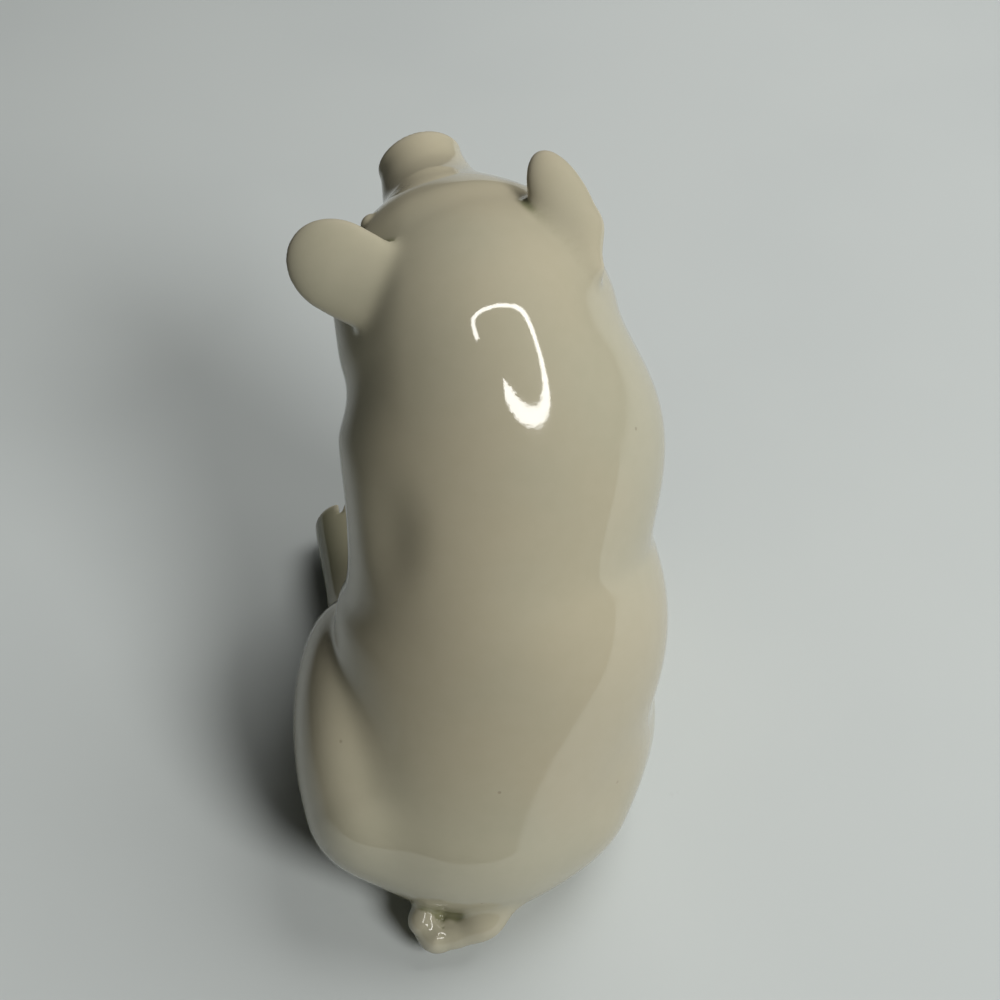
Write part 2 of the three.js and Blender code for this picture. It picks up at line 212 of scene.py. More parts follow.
class Loft:
    """A solid of oval sections along a smooth spine, with a round cap past each end."""

    SAMPLES = 48
    STEPS = 3
    STRIDE = 0.3
    LEAST_PACE = 0.4
    SIDE_TURN = 2.0
    MARGIN = 14.0

    def __init__(self, sections: Sequence[Section], side: Sequence[float],
                 caps: tuple[float, float]) -> None:
        """Fits the spine and the sizes.

        Args:
            sections: The sections in order.
            side: Which way is left for every section.
            caps: How far the first and the last cap stand out.
        """
        self.spine = Spline([s.place for s in sections])
        self.reach = Spline([(s.left, s.right, s.back, s.front) for s in sections], level_ends=True)
        self.side = unit(side)
        self.caps = caps
        self.samples = np.linspace(0.0, self.spine.last, self.SAMPLES)
        self.centres = self.spine.at(self.samples)
        most = self.reach.rows.max() + max(caps) + self.MARGIN
        self.low = self.centres.min(0) - most
        self.high = self.centres.max(0) + most

    def frame_at(self, t: np.ndarray) -> tuple[np.ndarray, np.ndarray, np.ndarray]:
        """Returns the directions along the spine, to the left and to the back at each t."""
        along = unit(self.spine.slope(t))
        back = unit(np.cross(along, self.side))
        return along, np.cross(back, along), back

    def nearest(self, points: np.ndarray) -> np.ndarray:
        """Returns the spine's parameter nearest to each point."""
        apart = (self.centres**2).sum(1) - 2.0 * points @ self.centres.T
        t = self.samples[np.argmin(apart, axis=1)]
        for _ in range(self.STEPS):
            slope = self.spine.slope(t)
            away = points - self.spine.at(t)
            pace = (slope**2).sum(1)
            pull = np.maximum(pace - (away * self.spine.bend(t)).sum(1), self.LEAST_PACE * pace)
            step = np.clip((away * slope).sum(1) / pull, -self.STRIDE, self.STRIDE)
            t = np.clip(t + step, 0.0, self.spine.last)
        return t

    def skin(self, t: float, angle: float) -> np.ndarray:
        """Finds a point of the surface.

        Args:
            t: Where along the spine, in sections.
            angle: Degrees round the section, from its left towards its back.

        Returns:
            The point.
        """
        at = np.array([t])
        _, left, back = self.frame_at(at)
        reach = self.reach.at(at)[0]
        c, s = math.cos(math.radians(angle)), math.sin(math.radians(angle))
        across = reach[0 if c > 0 else 1] * c * left[0] + reach[2 if s > 0 else 3] * s * back[0]
        return self.spine.at(at)[0] + across

    def distance(self, points: np.ndarray) -> np.ndarray:
        """Returns the distance of each point from the surface, negative inside."""
        found = np.full(len(points), FAR)
        near = ((points > self.low) & (points < self.high)).all(1)
        p = points[near]
        if not len(p):
            return found
        t = self.nearest(p)
        along, left, back = self.frame_at(t)
        away = p - self.spine.at(t)
        u, v, w = ((away * axis).sum(1) for axis in (left, back, along))
        reach = self.reach.at(t)
        turn_u = 0.5 + 0.5 * np.tanh(self.SIDE_TURN * u / reach[:, 0])
        turn_v = 0.5 + 0.5 * np.tanh(self.SIDE_TURN * v / reach[:, 2])
        wide = reach[:, 1] + (reach[:, 0] - reach[:, 1]) * turn_u
        deep = reach[:, 3] + (reach[:, 2] - reach[:, 3]) * turn_v
        w = np.where((t <= 0.0) | (t >= self.spine.last), w, 0.0)
        cap = np.where(t <= 0.0, self.caps[0], self.caps[1])
        found[near] = oval_distance(np.stack([u, v, w], 1), np.stack([wide, deep, cap], 1))
        return found


def oval_distance(away: np.ndarray, reach: np.ndarray) -> np.ndarray:
    """Measures the distance from an ellipsoid.

    Args:
        away: Each point from the centre, in the ellipsoid's own axes.
        reach: The half sizes on those axes.

    Returns:
        Distances, negative inside.
    """
    q = away / reach
    size = np.sqrt((q**2).sum(1))
    steep = np.sqrt(((q / reach) ** 2).sum(1))
    return size * (size - 1.0) / np.maximum(steep, 1e-6)


@dataclass(frozen=True)
class Blob:
    """A small ellipsoid that is melted on or carved out."""

    place: Sequence[float]
    reach: Sequence[float]
    axes: np.ndarray = field(default_factory=lambda: np.eye(3))

    def distance(self, points: np.ndarray) -> np.ndarray:
        """Returns the distance of each point from the surface, negative inside."""
        away = (points - np.asarray(self.place)) @ np.asarray(self.axes).T
        return oval_distance(away, np.asarray(self.reach, float)[None, :])


@dataclass(frozen=True)
class Ring:
    """A round bead bent into a circle."""

    place: Sequence[float]
    axis: Sequence[float]
    radius: float
    bead: float

    def distance(self, points: np.ndarray) -> np.ndarray:
        """Returns the distance of each point from the surface, negative inside."""
        away = points - np.asarray(self.place)
        lift = away @ unit(self.axis)
        out = np.sqrt(np.maximum((away**2).sum(1) - lift**2, 0.0)) - self.radius
        return np.sqrt(out**2 + lift**2) - self.bead


@dataclass(frozen=True)
class Stroke:
    """A groove of even thickness through a row of points."""

    path: Sequence[Sequence[float]]
    radius: float

    def distance(self, points: np.ndarray) -> np.ndarray:
        """Returns the distance of each point from the surface, negative inside."""
        rows = np.asarray(self.path, float)
        best = np.full(len(points), FAR)
        for a, b in zip(rows[:-1], rows[1:]):
            run = b - a
            share = np.clip((points - a) @ run / (run @ run), 0.0, 1.0)
            gap = np.linalg.norm(points - a - share[:, None] * run, axis=1)
            best = np.minimum(best, gap)
        return best - self.radius


@dataclass
class Torso:
    """The hollow body casting, from the rump on the table to the neck."""

    rump: Section = Section((0.5, 19.0, 16.0), 23.0, 23.0, 23.0, 23.0)
    belly: Section = Section((-4.2, 8.0, 37.0), 24.0, 24.2, 24.5, 28.0)
    waist: Section = Section((-4.0, 1.5, 49.0), 21.6, 21.6, 23.9, 25.0)
    chest: Section = Section((-4.35, -6.0, 62.5), 22.6, 22.2, 22.3, 21.0)
    neck: Section = Section((-2.2, -14.5, 71.4), 20.2, 18.1, 23.2, 16.5)
    rump_dome: float = 23.0
    neck_dome: float = 16.0
    flank_at: tuple[float, float, float] = (15.8, 19.2, 68.9)
    flank_size: tuple[float, float, float] = (9.0, 9.0, 12.0)
    flank_blend: float = 5.0

    def __post_init__(self) -> None:
        """Lays out the loft."""
        sections = (self.rump, self.belly, self.waist, self.chest, self.neck)
        self.loft = Loft(sections, (1.0, 0.0, 0.0), (self.rump_dome, self.neck_dome))
        self.flank = Blob(self.flank_at, self.flank_size)

    def distance(self, points: np.ndarray) -> np.ndarray:
        """Returns the distance of each point from the torso's skin."""
        return carve(self.loft.distance(points), self.flank.distance(points), self.flank_blend)


@dataclass
class Head:
    """The hollow head casting, in its own axes: left, forward and up from the middle of the skull."""

    skull: tuple[float, float, float] = (-1.5, -14.0, 77.9)
    yaw: float = 17.6
    pitch: float = 8.0
    skull_size: tuple[float, float] = (30.0, 27.0)
    cheek_at: tuple[float, float] = (9.0, -2.5)
    cheek_size: tuple[float, float] = (28.0, 27.0)
    muzzle_at: tuple[float, float] = (19.0, -3.0)
    muzzle_size: tuple[float, float] = (18.0, 18.0)
    nose_at: tuple[float, float] = (25.5, -3.2)
    nose_size: tuple[float, float] = (13.9, 13.2)
    snout_at: tuple[float, float] = (30.5, -2.5)
    snout_size: tuple[float, float] = (12.3, 12.0)
    snout_dome: float = 1.2
    rim_bead: float = 0.5
    rim_set_back: float = 0.4
    rim_inset: float = 0.65
    rim_blend: float = 1.2
    jowl_at: tuple[float, float, float] = (8.0, 9.0, -7.5)
    jowl_size: tuple[float, float, float] = (6.5, 8.5, 6.0)
    jowl_blend: float = 5.0
    forehead_at: tuple[float, float, float] = (2.0, 8.0, -2.0)
    forehead_size: tuple[float, float, float] = (16.0, 10.9, 12.2)
    forehead_blend: float = 6.5
    nostril_at: tuple[float, float, float] = (2.6, 31.8, -2.2)
    nostril_size: tuple[float, float, float] = (1.25, 2.4, 1.9)
    nostril_edge: float = 0.8
    eye_along: float = 1.38
    eye_angle: float = 36.0
    eye_radius: float = 1.7
    eye_slant: float = 0.12
    socket_edge: float = 1.2
    eyeball_edge: float = 0.35
    mouth_groove: float = 0.55
    mouth_edge: float = 0.7
    SOCKET = (1.7, 1.1, 0.9)
    SOCKET_RISE = 0.3
    EYEBALL = (1.03, 0.85, 0.88)
    EYEBALL_SINK = 0.55
    MOUTH = ((1.35, -18.0), (1.5, -27.0), (1.9, -38.0), (2.4, -47.0), (2.9, -56.0), (3.4, -70.0))
    MOUTH_MIDDLE = (3.5, -90.0)
    FACE_DEPTH = 10.0
    ROUNDS = 8

    def __post_init__(self) -> None:
        """Lays out the loft and the features of the face."""
        turn = Matrix.Rotation(math.radians(self.yaw), 3, "Z") @ Matrix.Rotation(
            math.radians(-self.pitch), 3, "X"
        )
        self.axes = np.array(turn).T * np.array([[1.0], [-1.0], [1.0]])
        rows = (
            ((0.0, 0.0), self.skull_size),
            (self.cheek_at, self.cheek_size),
            (self.muzzle_at, self.muzzle_size),
            (self.nose_at, self.nose_size),
            (self.snout_at, self.snout_size),
        )
        sections = [oval(self.at(0.0, *place), *size) for place, size in rows]
        caps = (self.skull_size[1] / 2, self.snout_dome)
        self.loft = Loft(sections, self.axes[0], caps)
        rim = self.at(0.0, self.snout_at[0] - self.rim_set_back, self.snout_at[1])
        self.rim = Ring(rim, self.axes[1], self.snout_size[1] / 2 - self.rim_inset, self.rim_bead)
        self.forehead = Blob(self.at(*self.forehead_at), self.forehead_size, self.axes)
        l, f, u = self.jowl_at
        self.jowls = [Blob(self.at(hand.value * l, f, u), self.jowl_size, self.axes) for hand in Hand]
        self.features = [self._half_face(hand.value) for hand in Hand]
        self.mouth = Stroke(self._mouth_line(), self.mouth_groove)

    def at(self, left: float, forward: float, up: float) -> np.ndarray:
        """Returns a place on the head, given in the head's own axes."""
        return np.asarray(self.skull) + np.array([left, forward, up]) @ self.axes

    def _bare(self, points: np.ndarray) -> np.ndarray:
        """Returns the distance of each point from the head without eyes, nostrils and mouth."""
        form = melt(self.loft.distance(points), self.rim.distance(points), self.rim_blend)
        form = melt(form, self.forehead.distance(points), self.forehead_blend)
        for jowl in self.jowls:
            form = melt(form, jowl.distance(points), self.jowl_blend)
        return form

    def on_skin(self, t: float, angle: float) -> tuple[np.ndarray, np.ndarray]:
        """Finds a point of the head's surface and the way out there.

        Args:
            t: Where along the head's spine, in sections.
            angle: Degrees round the section, from its left upwards.

        Returns:
            The point, and the direction out of the spine.
        """
        point = self.loft.skin(t, angle)
        out = unit(point - self.loft.spine.at(np.array([t]))[0])
        for _ in range(self.ROUNDS):
            point = point - self._bare(point[None, :])[0] * out
        return point, out

    def _half_face(self, sign: int) -> dict[str, Blob]:
        """Returns the features on one side of the face, by name."""
        angle = self.eye_angle if sign > 0 else 180.0 - self.eye_angle
        eye, out = self.on_skin(self.eye_along, angle)
        slit = unit(self.on_skin(self.eye_along + self.eye_slant, angle)[0] - eye)
        out = unit(out - (out @ slit) * slit)
        axes = np.stack([slit, np.cross(out, slit), out])
        nostril = self.at(sign * self.nostril_at[0], *self.nostril_at[1:])
        r = self.eye_radius
        socket, eyeball = ([share * r for share in shape] for shape in (self.SOCKET, self.EYEBALL))
        return {
            "nostril": Blob(nostril, self.nostril_size, self.axes),
            "socket": Blob(eye + self.SOCKET_RISE * r * out, socket, axes),
            "eyeball": Blob(eye - self.EYEBALL_SINK * r * out, eyeball, axes),
        }

    def _mouth_line(self) -> list[np.ndarray]:
        """Returns points of the skin along the mouth, from its right corner to its left one."""
        right = [self.on_skin(t, 180.0 - angle)[0] for t, angle in self.MOUTH]
        left = [self.on_skin(t, angle)[0] for t, angle in self.MOUTH]
        return right + [self.on_skin(*self.MOUTH_MIDDLE)[0]] + left[::-1]

    def distance(self, points: np.ndarray) -> np.ndarray:
        """Returns the distance of each point from the head's skin."""
        whole = self.loft.distance(points)
        near = np.abs(whole) < self.FACE_DEPTH
        p = points[near]
        form = self._bare(p)
        for half in self.features:
            form = carve(form, half["socket"].distance(p), self.socket_edge)
            form = melt(form, half["eyeball"].distance(p), self.eyeball_edge)
            form = carve(form, half["nostril"].distance(p), self.nostril_edge)
        whole[near] = carve(form, self.mouth.distance(p), self.mouth_edge)
        return whole


@dataclass(frozen=True)
class Leaf:
    """One section of an ear: how far out and aside of its root it lies, its width and its thickness."""

    out: float
    aside: float
    width: float
    thickness: float


@dataclass
class Ear:
    """A leaf-shaped ear with a hollow in front, on the head's own axes."""

    head: Head
    root: tuple[float, float, float]
    outwards: tuple[float, float, float]
    broad: tuple[float, float, float]
    leaves: Sequence[Leaf]
    tip_dome: float
    hollow: tuple[float, float, float] = (3.6, 5.0, 1.6)
    hollow_depth: float = 0.7
    hollow_edge: float = 1.4
    BEHIND = (0.0, 1.0, 1.0)

    def __post_init__(self) -> None:
        """Lays out the loft and the hollow."""
        out = unit(np.asarray(self.outwards) @ self.head.axes)
        side = np.asarray(self.broad) @ self.head.axes
        side = unit(side - (side @ out) * out)
        root = self.head.at(*self.root)
        places = [root + leaf.out * out + leaf.aside * side for leaf in self.leaves]
        sections = [oval(place, leaf.width, leaf.thickness) for place, leaf in zip(places, self.leaves)]
        self.loft = Loft(sections, side, (self.leaves[0].thickness / 2, self.tip_dome))
        along, left, back = (axis[0] for axis in self.loft.frame_at(np.array([self.loft.spine.last])))
        front = -back if back @ np.asarray(self.BEHIND) > 0 else back
        lift = self.leaves[-1].thickness / 2 + self.hollow[2] - self.hollow_depth
        self.scoop = Blob(places[-1] + lift * front, self.hollow, np.stack([left, along, back]))
        self.joint_axis = out

    def distance(self, points: np.ndarray) -> np.ndarray:
        """Returns the distance of each point from the ear's skin."""
        return carve(self.loft.distance(points), self.scoop.distance(points), self.hollow_edge)


@dataclass
class Foreleg:
    """A straight foreleg from the shoulder to the cloven hoof on the table."""

    torso: Torso
    hand: Hand
    shoulder_spread: float = 20.0
    shoulder_from_chest: tuple[float, float] = (-4.5, -17.5)
    shoulder_size: tuple[float, float] = (18.0, 22.0)
    shoulder_dome: float = 7.0
    hoof_spread: float = 17.0
    hoof_lean: float = 1.5
    hoof_reach: float = 18.0
    hoof_size: tuple[float, float] = (13.0, 14.5)
    elbow: tuple[float, float] = (30.0, 3.2)
    elbow_size: tuple[float, float] = (15.5, 17.0)
    forearm: tuple[float, float] = (17.0, 2.0)
    forearm_diameter: float = 13.0
    fetlock_rise: float = 7.5
    fetlock_diameter: float = 11.0
    hoof_dome: float = 1.0
    cleft: tuple[float, float, float] = (0.75, 5.0, 6.0)
    cleft_inset: float = 0.6
    cleft_rise: float = 0.5
    cleft_edge: float = 0.7
    dewclaw: tuple[float, float, float] = (1.5, 1.5, 2.25)
    dewclaw_out: float = 0.2
    dewclaw_blend: float = 0.9

    def __post_init__(self) -> None:
        """Lays out the loft and the hoof."""
        sign = self.hand.value
        chest = np.asarray(self.torso.chest.place)
        shoulder = chest + np.array([sign * self.shoulder_spread / 2, *self.shoulder_from_chest])
        hoof = np.array([
            sign * self.hoof_spread / 2 - self.hoof_lean, shoulder[1] - self.hoof_reach, 0.0,
        ])

        def at_height(rise: float, forward: float) -> np.ndarray:
            """Returns a place on the leg at a height over the table."""
            return hoof + (shoulder - hoof) * (rise / shoulder[2]) + np.array([0.0, -forward, 0.0])

        sections = [
            oval(shoulder, *self.shoulder_size),
            oval(at_height(*self.elbow), *self.elbow_size),
            oval(at_height(*self.forearm), self.forearm_diameter, self.forearm_diameter),
            oval(at_height(self.fetlock_rise, 0.0), self.fetlock_diameter, self.fetlock_diameter),
            oval(hoof, *self.hoof_size),
        ]
        self.loft = Loft(sections, (1.0, 0.0, 0.0), (self.shoulder_dome, self.hoof_dome))
        toe = hoof + np.array([0.0, -self.hoof_size[1] / 2 + self.cleft_inset, self.cleft_rise])
        self.split = Blob(toe, self.cleft)
        heel = at_height(self.fetlock_rise, -self.fetlock_diameter / 2 - self.dewclaw_out)
        spread = np.array([self.fetlock_diameter / 4, 0.0, 0.0])
        self.claws = [Blob(heel + side * spread, self.dewclaw) for side in (1, -1)]
        self.joint_axis = unit(at_height(*self.elbow) - shoulder)

    def distance(self, points: np.ndarray) -> np.ndarray:
        """Returns the distance of each point from the leg's skin."""
        form = self.loft.distance(points)
        for claw in self.claws:
            form = melt(form, claw.distance(points), self.dewclaw_blend)
        return carve(form, self.split.distance(points), self.cleft_edge)


@dataclass
class HindLeg:
    """A folded hind leg: the haunch beside the rump and the cloven foot in front of it."""

    hand: Hand
    haunch: tuple[float, float, float]
    haunch_size: tuple[float, float]
    buttock: tuple[float, float, float]
    buttock_size: tuple[float, float]
    buttock_dome: float = 10.2
    knee: tuple[float, float, float] = (18.75, 1.5, 13.5)
    knee_size: tuple[float, float] = (16.0, 26.0)
    ankle: tuple[float, float, float] = (21.0, -11.5, 6.0)
    ankle_size: tuple[float, float] = (9.5, 12.5)
    foot: tuple[float, float, float] = (22.7, -23.5, 5.35)
    foot_size: tuple[float, float] = (9.5, 11.5)
    toe: tuple[float, float, float] = (24.3, -34.5, 5.35)
    toe_size: tuple[float, float] = (11.0, 11.5)
    toe_dome: float = 3.0
    cleft: tuple[float, float, float] = (0.8, 5.5, 6.5)
    cleft_out: float = 0.4
    cleft_rise: float = 1.0
    cleft_edge: float = 0.8

    def __post_init__(self) -> None:
        """Lays out the loft and the hoof."""
        sign = self.hand.value
        rows = (
            (self.buttock, self.buttock_size),
            (self.haunch, self.haunch_size),
            (self.knee, self.knee_size),
            (self.ankle, self.ankle_size),
            (self.foot, self.foot_size),
            (self.toe, self.toe_size),
        )
        sections = [oval((sign * p[0], p[1], p[2]), *size) for p, size in rows]
        self.loft = Loft(sections, (1.0, 0.0, 0.0), (self.buttock_dome, self.toe_dome))
        out, ahead, rise = self.toe
        tip = (sign * (out + self.cleft_out), ahead - self.toe_dome, rise + self.cleft_rise)
        self.split = Blob(tip, self.cleft)
        self.joint_axis = np.array([sign, 0.0, 0.0])

    def distance(self, points: np.ndarray) -> np.ndarray:
        """Returns the distance of each point from the leg's skin."""
        return carve(self.loft.distance(points), self.split.distance(points), self.cleft_edge)


@dataclass
class Tail:
    """A short tail, curled on itself into two lobes behind the foot of the rump."""

    root: Section = Section((-4.8, 38.2, 9.2), 2.3, 2.3, 2.3, 2.3)
    lobe: Section = Section((-1.6, 41.0, 7.2), 3.1, 3.1, 3.0, 3.0)
    tuck: Section = Section((2.2, 42.2, 5.4), 2.3, 2.3, 2.3, 2.3)
    curl: Section = Section((3.2, 42.2, 5.4), 2.3, 2.3, 2.3, 2.3)
    knob: Section = Section((5.2, 42.1, 5.0), 3.3, 3.3, 3.1, 3.1)
    tip: Section = Section((7.2, 40.9, 6.4), 2.4, 2.4, 2.4, 2.4)
    crease: float = 1.6
    domes: tuple[float, float] = (2.2, 2.4)

    def __post_init__(self) -> None:
        """Lays out the two lobes."""
        up = (0.0, 0.0, 1.0)
        self.first = Loft((self.root, self.lobe, self.tuck), up, self.domes)
        self.second = Loft((self.curl, self.knob, self.tip), up, self.domes)
        self.joint_axis = np.array([0.0, 1.0, 0.0])

    def distance(self, points: np.ndarray) -> np.ndarray:
        """Returns the distance of each point from the tail's skin."""
        return melt(self.first.distance(points), self.second.distance(points), self.crease)


@dataclass(frozen=True)
class Luting:
    """A piece that is luted on to the body with slip."""

    name: str
    form: Ear | Foreleg | HindLeg | Tail
    fillet: float
    back_fillet: float | None = None
    BACK = (12.0, 29.0)

    def reach(self, points: np.ndarray) -> np.ndarray:
        """Returns how wide the fillet is at each point: a back fillet opens it out behind."""
        wider = 0.0 if self.back_fillet is None else self.back_fillet - self.fillet
        return self.fillet + wider * ease(points[:, 1], *self.BACK)


@dataclass
class Pig:
    """The whole form: castings, fillets, the hollow inside and the flat foot."""

    wall: float = 3.0
    vent_diameter: float = 8.0
    throat_fillet: float = 8.0
    nape_fillet: float = 12.5
    nape_sides: tuple[float, float] = (-17.0, -10.0)
    nape_rise: tuple[float, float] = (68.0, 80.0)
    muzzle_solid_from: float = 21.0
    foot_edge: float = 0.9
    hollow_edge: float = 2.0
    vent_edge: float = 1.6
    wall_edge: float = 1.2
    neck_at: tuple[float, float, float] = (-2.0, -11.5, 73.6)
    neck_slope: float = 33.0

    def __post_init__(self) -> None:
        """Makes the castings."""
        self.torso = Torso()
        self.head = Head()
        left_ear = Ear(
            self.head, root=(12.0, -2.0, 7.4), outwards=(0.76, 0.64, 0.2), broad=(-0.6, 0.52, 0.6),
            leaves=(Leaf(-5.0, 0.0, 9.5, 5.6), Leaf(2.5, 0.0, 11.2, 5.0), Leaf(8.2, 0.2, 11.7, 4.4)),
            tip_dome=7.1,
        )
        right_ear = Ear(
            self.head, root=(-11.6, -5.9, 9.6), outwards=(0.03, 0.912, 0.413), broad=(1.0, -0.03, -0.02),
            leaves=(Leaf(0.4, 0.0, 5.4, 4.6), Leaf(5.0, -0.1, 8.3, 5.2), Leaf(8.0, 0.1, 8.0, 4.7)),
            tip_dome=8.8,
        )
        left_leg = HindLeg(
            Hand.LEFT, haunch=(18.3, 16.0, 18.8), haunch_size=(18.0, 39.0),
            buttock=(15.75, 26.6, 15.6), buttock_size=(18.0, 30.5),
        )
        right_leg = HindLeg(
            Hand.RIGHT, haunch=(18.75, 14.0, 17.0), haunch_size=(18.0, 34.0),
            buttock=(14.6, 23.5, 13.2), buttock_size=(17.5, 25.0),
        )
        self.luted = [
            Luting("left_ear", left_ear, fillet=1.8),
            Luting("right_ear", right_ear, fillet=2.2),
            Luting("left_foreleg", Foreleg(self.torso, Hand.LEFT), fillet=4.0),
            Luting("left_hind_leg", left_leg, fillet=1.8, back_fillet=7.0),
            Luting("right_foreleg", Foreleg(self.torso, Hand.RIGHT), fillet=4.0),
            Luting("right_hind_leg", right_leg, fillet=1.8, back_fillet=7.0),
            Luting("tail", Tail(), fillet=2.6),
        ]
        slope = math.radians(self.neck_slope)
        self.neck_normal = np.array([0.0, -math.sin(slope), math.cos(slope)])

    def body(self, points: np.ndarray) -> np.ndarray:
        """Returns the distance of each point from the skin of torso and head together."""
        middle = ease(-np.abs(points[:, 0] - self.neck_at[0]), *self.nape_sides)
        share = middle * ease(points[:, 2], *self.nape_rise)
        reach = self.throat_fillet + (self.nape_fillet - self.throat_fillet) * share
        return melt(self.torso.distance(points), self.head.distance(points), reach)

    def skin(self, points: np.ndarray) -> np.ndarray:
        """Returns the distance of each point from the outside of the whole pig on its flat foot."""
        body = self.body(points)
        form = body
        for piece in self.luted:
            form = np.minimum(form, melt(body, piece.form.distance(points), piece.reach(points)))
        return carve(form, points[:, 2], self.foot_edge)

    def hollow(self, points: np.ndarray) -> np.ndarray:
        """Returns the distance of each point from the hollow and its vent, negative in the air."""
        inner = self.body(points) + self.wall
        inner = carve(inner, points[:, 2] - self.wall, self.hollow_edge)
        ahead = (points - np.asarray(self.head.skull)) @ self.head.axes[1] - self.muzzle_solid_from
        inner = carve(inner, -ahead, self.hollow_edge)
        rump = np.asarray(self.torso.rump.place)
        out = np.linalg.norm(points[:, :2] - rump[:2], axis=1) - self.vent_diameter / 2
        vent = np.maximum(out, points[:, 2] - 2.0 * self.wall)
        return melt(inner, vent, self.vent_edge)

    def solid(self, points: np.ndarray) -> np.ndarray:
        """Returns the distance of each point from the fired clay, negative inside it."""
        return carve(self.skin(points), self.hollow(points), self.wall_edge)


def edges_of(faces: np.ndarray) -> np.ndarray:
    """Returns the three directed edges of every face, as rows of two vertices."""
    return faces[:, [0, 1, 1, 2, 2, 0]].reshape(-1, 2)


def numbered_edges(faces: np.ndarray) -> tuple[np.ndarray, np.ndarray]:
    """Returns every edge once, and the numbers of each face's three edges."""
    pairs, which = np.unique(np.sort(edges_of(faces), axis=1), axis=0, return_inverse=True)
    return pairs, which.reshape(-1, 3)


def rim_edges(faces: np.ndarray) -> np.ndarray:
    """Returns the directed edges that only one face uses."""
    edges = edges_of(faces).astype(np.int64)
    base = int(edges.max()) + 1
    return edges[~np.isin(edges @ [base, 1], edges @ [1, base])]


def rims(faces: np.ndarray) -> list[np.ndarray]:
    """Returns the closed loops of edges that only one face uses, in the faces' own direction."""
    following: dict[int, list[int]] = {}
    for a, b in rim_edges(faces).tolist():
        following.setdefault(a, []).append(b)
    loops = []
    while following:
        start = next(iter(following))
        loop = [start]
        while True:
            here = loop[-1]
            after = following[here].pop()
            if not following[here]:
                del following[here]
            if after == start:
                break
            loop.append(after)
        loops.append(np.array(loop))
    return loops


def within(spots: np.ndarray, edges: np.ndarray) -> np.ndarray:
    """Tells which spots of a plane lie inside closed outlines.

    Args:
        spots: The spots.
        edges: The outlines' edges, as pairs of points.

    Returns:
        True for every spot that the outlines enclose.
    """
    inside = np.zeros(len(spots), bool)
    for a, b in edges:
        if a[1] == b[1]:
            continue
        passes = (a[1] > spots[:, 1]) != (b[1] > spots[:, 1])
        inside ^= passes & (spots[:, 0] < a[0] + (spots[:, 1] - a[1]) * (b[0] - a[0]) / (b[1] - a[1]))
    return inside


@dataclass
class Mesh:
    """A triangle mesh with a normal and named values at each vertex."""

    points: np.ndarray
    faces: np.ndarray
    normals: np.ndarray
    values: dict[str, np.ndarray]
    BEND_ROUNDS = 3
    LEAST_RUN = 1e-6
    SNAP = 0.06

    def bend(self) -> np.ndarray:
        """Returns how the mesh bends at each vertex: above zero on a ridge, below it in a crease."""
        here, there = edges_of(self.faces).T
        run = self.points[there] - self.points[here]
        turn = ((self.normals[there] - self.normals[here]) * run).sum(1)
        turn = turn / np.maximum((run**2).sum(1), self.LEAST_RUN)
        total = np.bincount(here, turn, len(self.points))
        count = np.bincount(here, minlength=len(self.points))
        return self.relax((total / np.maximum(count, 1))[:, None], self.BEND_ROUNDS)[:, 0]

    def relax(self, rows: np.ndarray, rounds: int) -> np.ndarray:
        """Averages values with those of the neighbouring vertices.

        Args:
            rows: One row per vertex.
            rounds: How often to average.

        Returns:
            The averaged rows.
        """
        here, there = edges_of(self.faces).T
        size = len(self.points)
        count = np.bincount(here, minlength=size)[:, None]
        for _ in range(rounds):
            total = np.stack([np.bincount(here, column, size) for column in rows[there].T], 1)
            rows = 0.5 * rows + 0.5 * total / np.maximum(count, 1)
        return rows

    def split_edges(self, marked: np.ndarray, share: np.ndarray, pairs: np.ndarray) -> None:
        """Puts a new vertex on each marked edge and divides the faces round it.

        Args:
            marked: For every face, the number of the pair on each of its three edges, or -1.
            share: For every pair, how far the new vertex lies towards its second vertex.
            pairs: The two vertices of every pair.
        """
        first = len(self.points)
        a, b = pairs.T
        s = share[:, None]
        self.points = np.vstack([self.points, self.points[a] * (1 - s) + self.points[b] * s])
        self.normals = np.vstack([self.normals, unit(self.normals[a] * (1 - s) + self.normals[b] * s)])
        for name, v in self.values.items():
            self.values[name] = np.concatenate([v, v[a] * (1 - share) + v[b] * share])
        count = (marked >= 0).sum(1)
        parts = [self.faces[count == 0]]
        for wanted in (1, 2, 3):
            rows = np.flatnonzero(count == wanted)
            if not len(rows):
                continue
            pick = marked[rows] >= 0
            starts = {1: np.argmax(pick, axis=1), 2: np.argmin(pick, axis=1) + 1, 3: 0 * rows}
            order = (starts[wanted][:, None] + np.arange(3)) % 3
            x, y, z = np.take_along_axis(self.faces[rows], order, 1).T
            m, n, o = (np.take_along_axis(marked[rows], order, 1) + first).T
            templates = {
                1: ((x, m, z), (m, y, z)),
                2: ((x, m, z), (m, n, z), (m, y, n)),
                3: ((x, m, o), (m, y, n), (n, z, o), (m, n, o)),
            }
            parts += [np.stack(corners, 1) for corners in templates[wanted]]
        self.faces = np.vstack(parts)

    def cut(self, level: np.ndarray) -> np.ndarray:
        """Divides the faces along the line where a value at the vertices is zero.

        Args:
            level: The value at each vertex.

        Returns:
            The value at each vertex of the divided mesh, zero along the line.
        """
        pairs, which = numbered_edges(self.faces)
        a, b = level[pairs[:, 0]], level[pairs[:, 1]]
        crossing = a * b < 0
        share = np.where(crossing, a / np.where(crossing, a - b, 1.0), 0.5)
        level = level.copy()
        level[pairs[crossing & (share < self.SNAP), 0]] = 0.0
        level[pairs[crossing & (share > 1 - self.SNAP), 1]] = 0.0
        crossing = level[pairs[:, 0]] * level[pairs[:, 1]] < 0
        number = np.where(crossing, np.cumsum(crossing) - 1, -1)
        self.split_edges(number[which], share[crossing], pairs[crossing])
        return np.concatenate([level, np.zeros(int(crossing.sum()))])


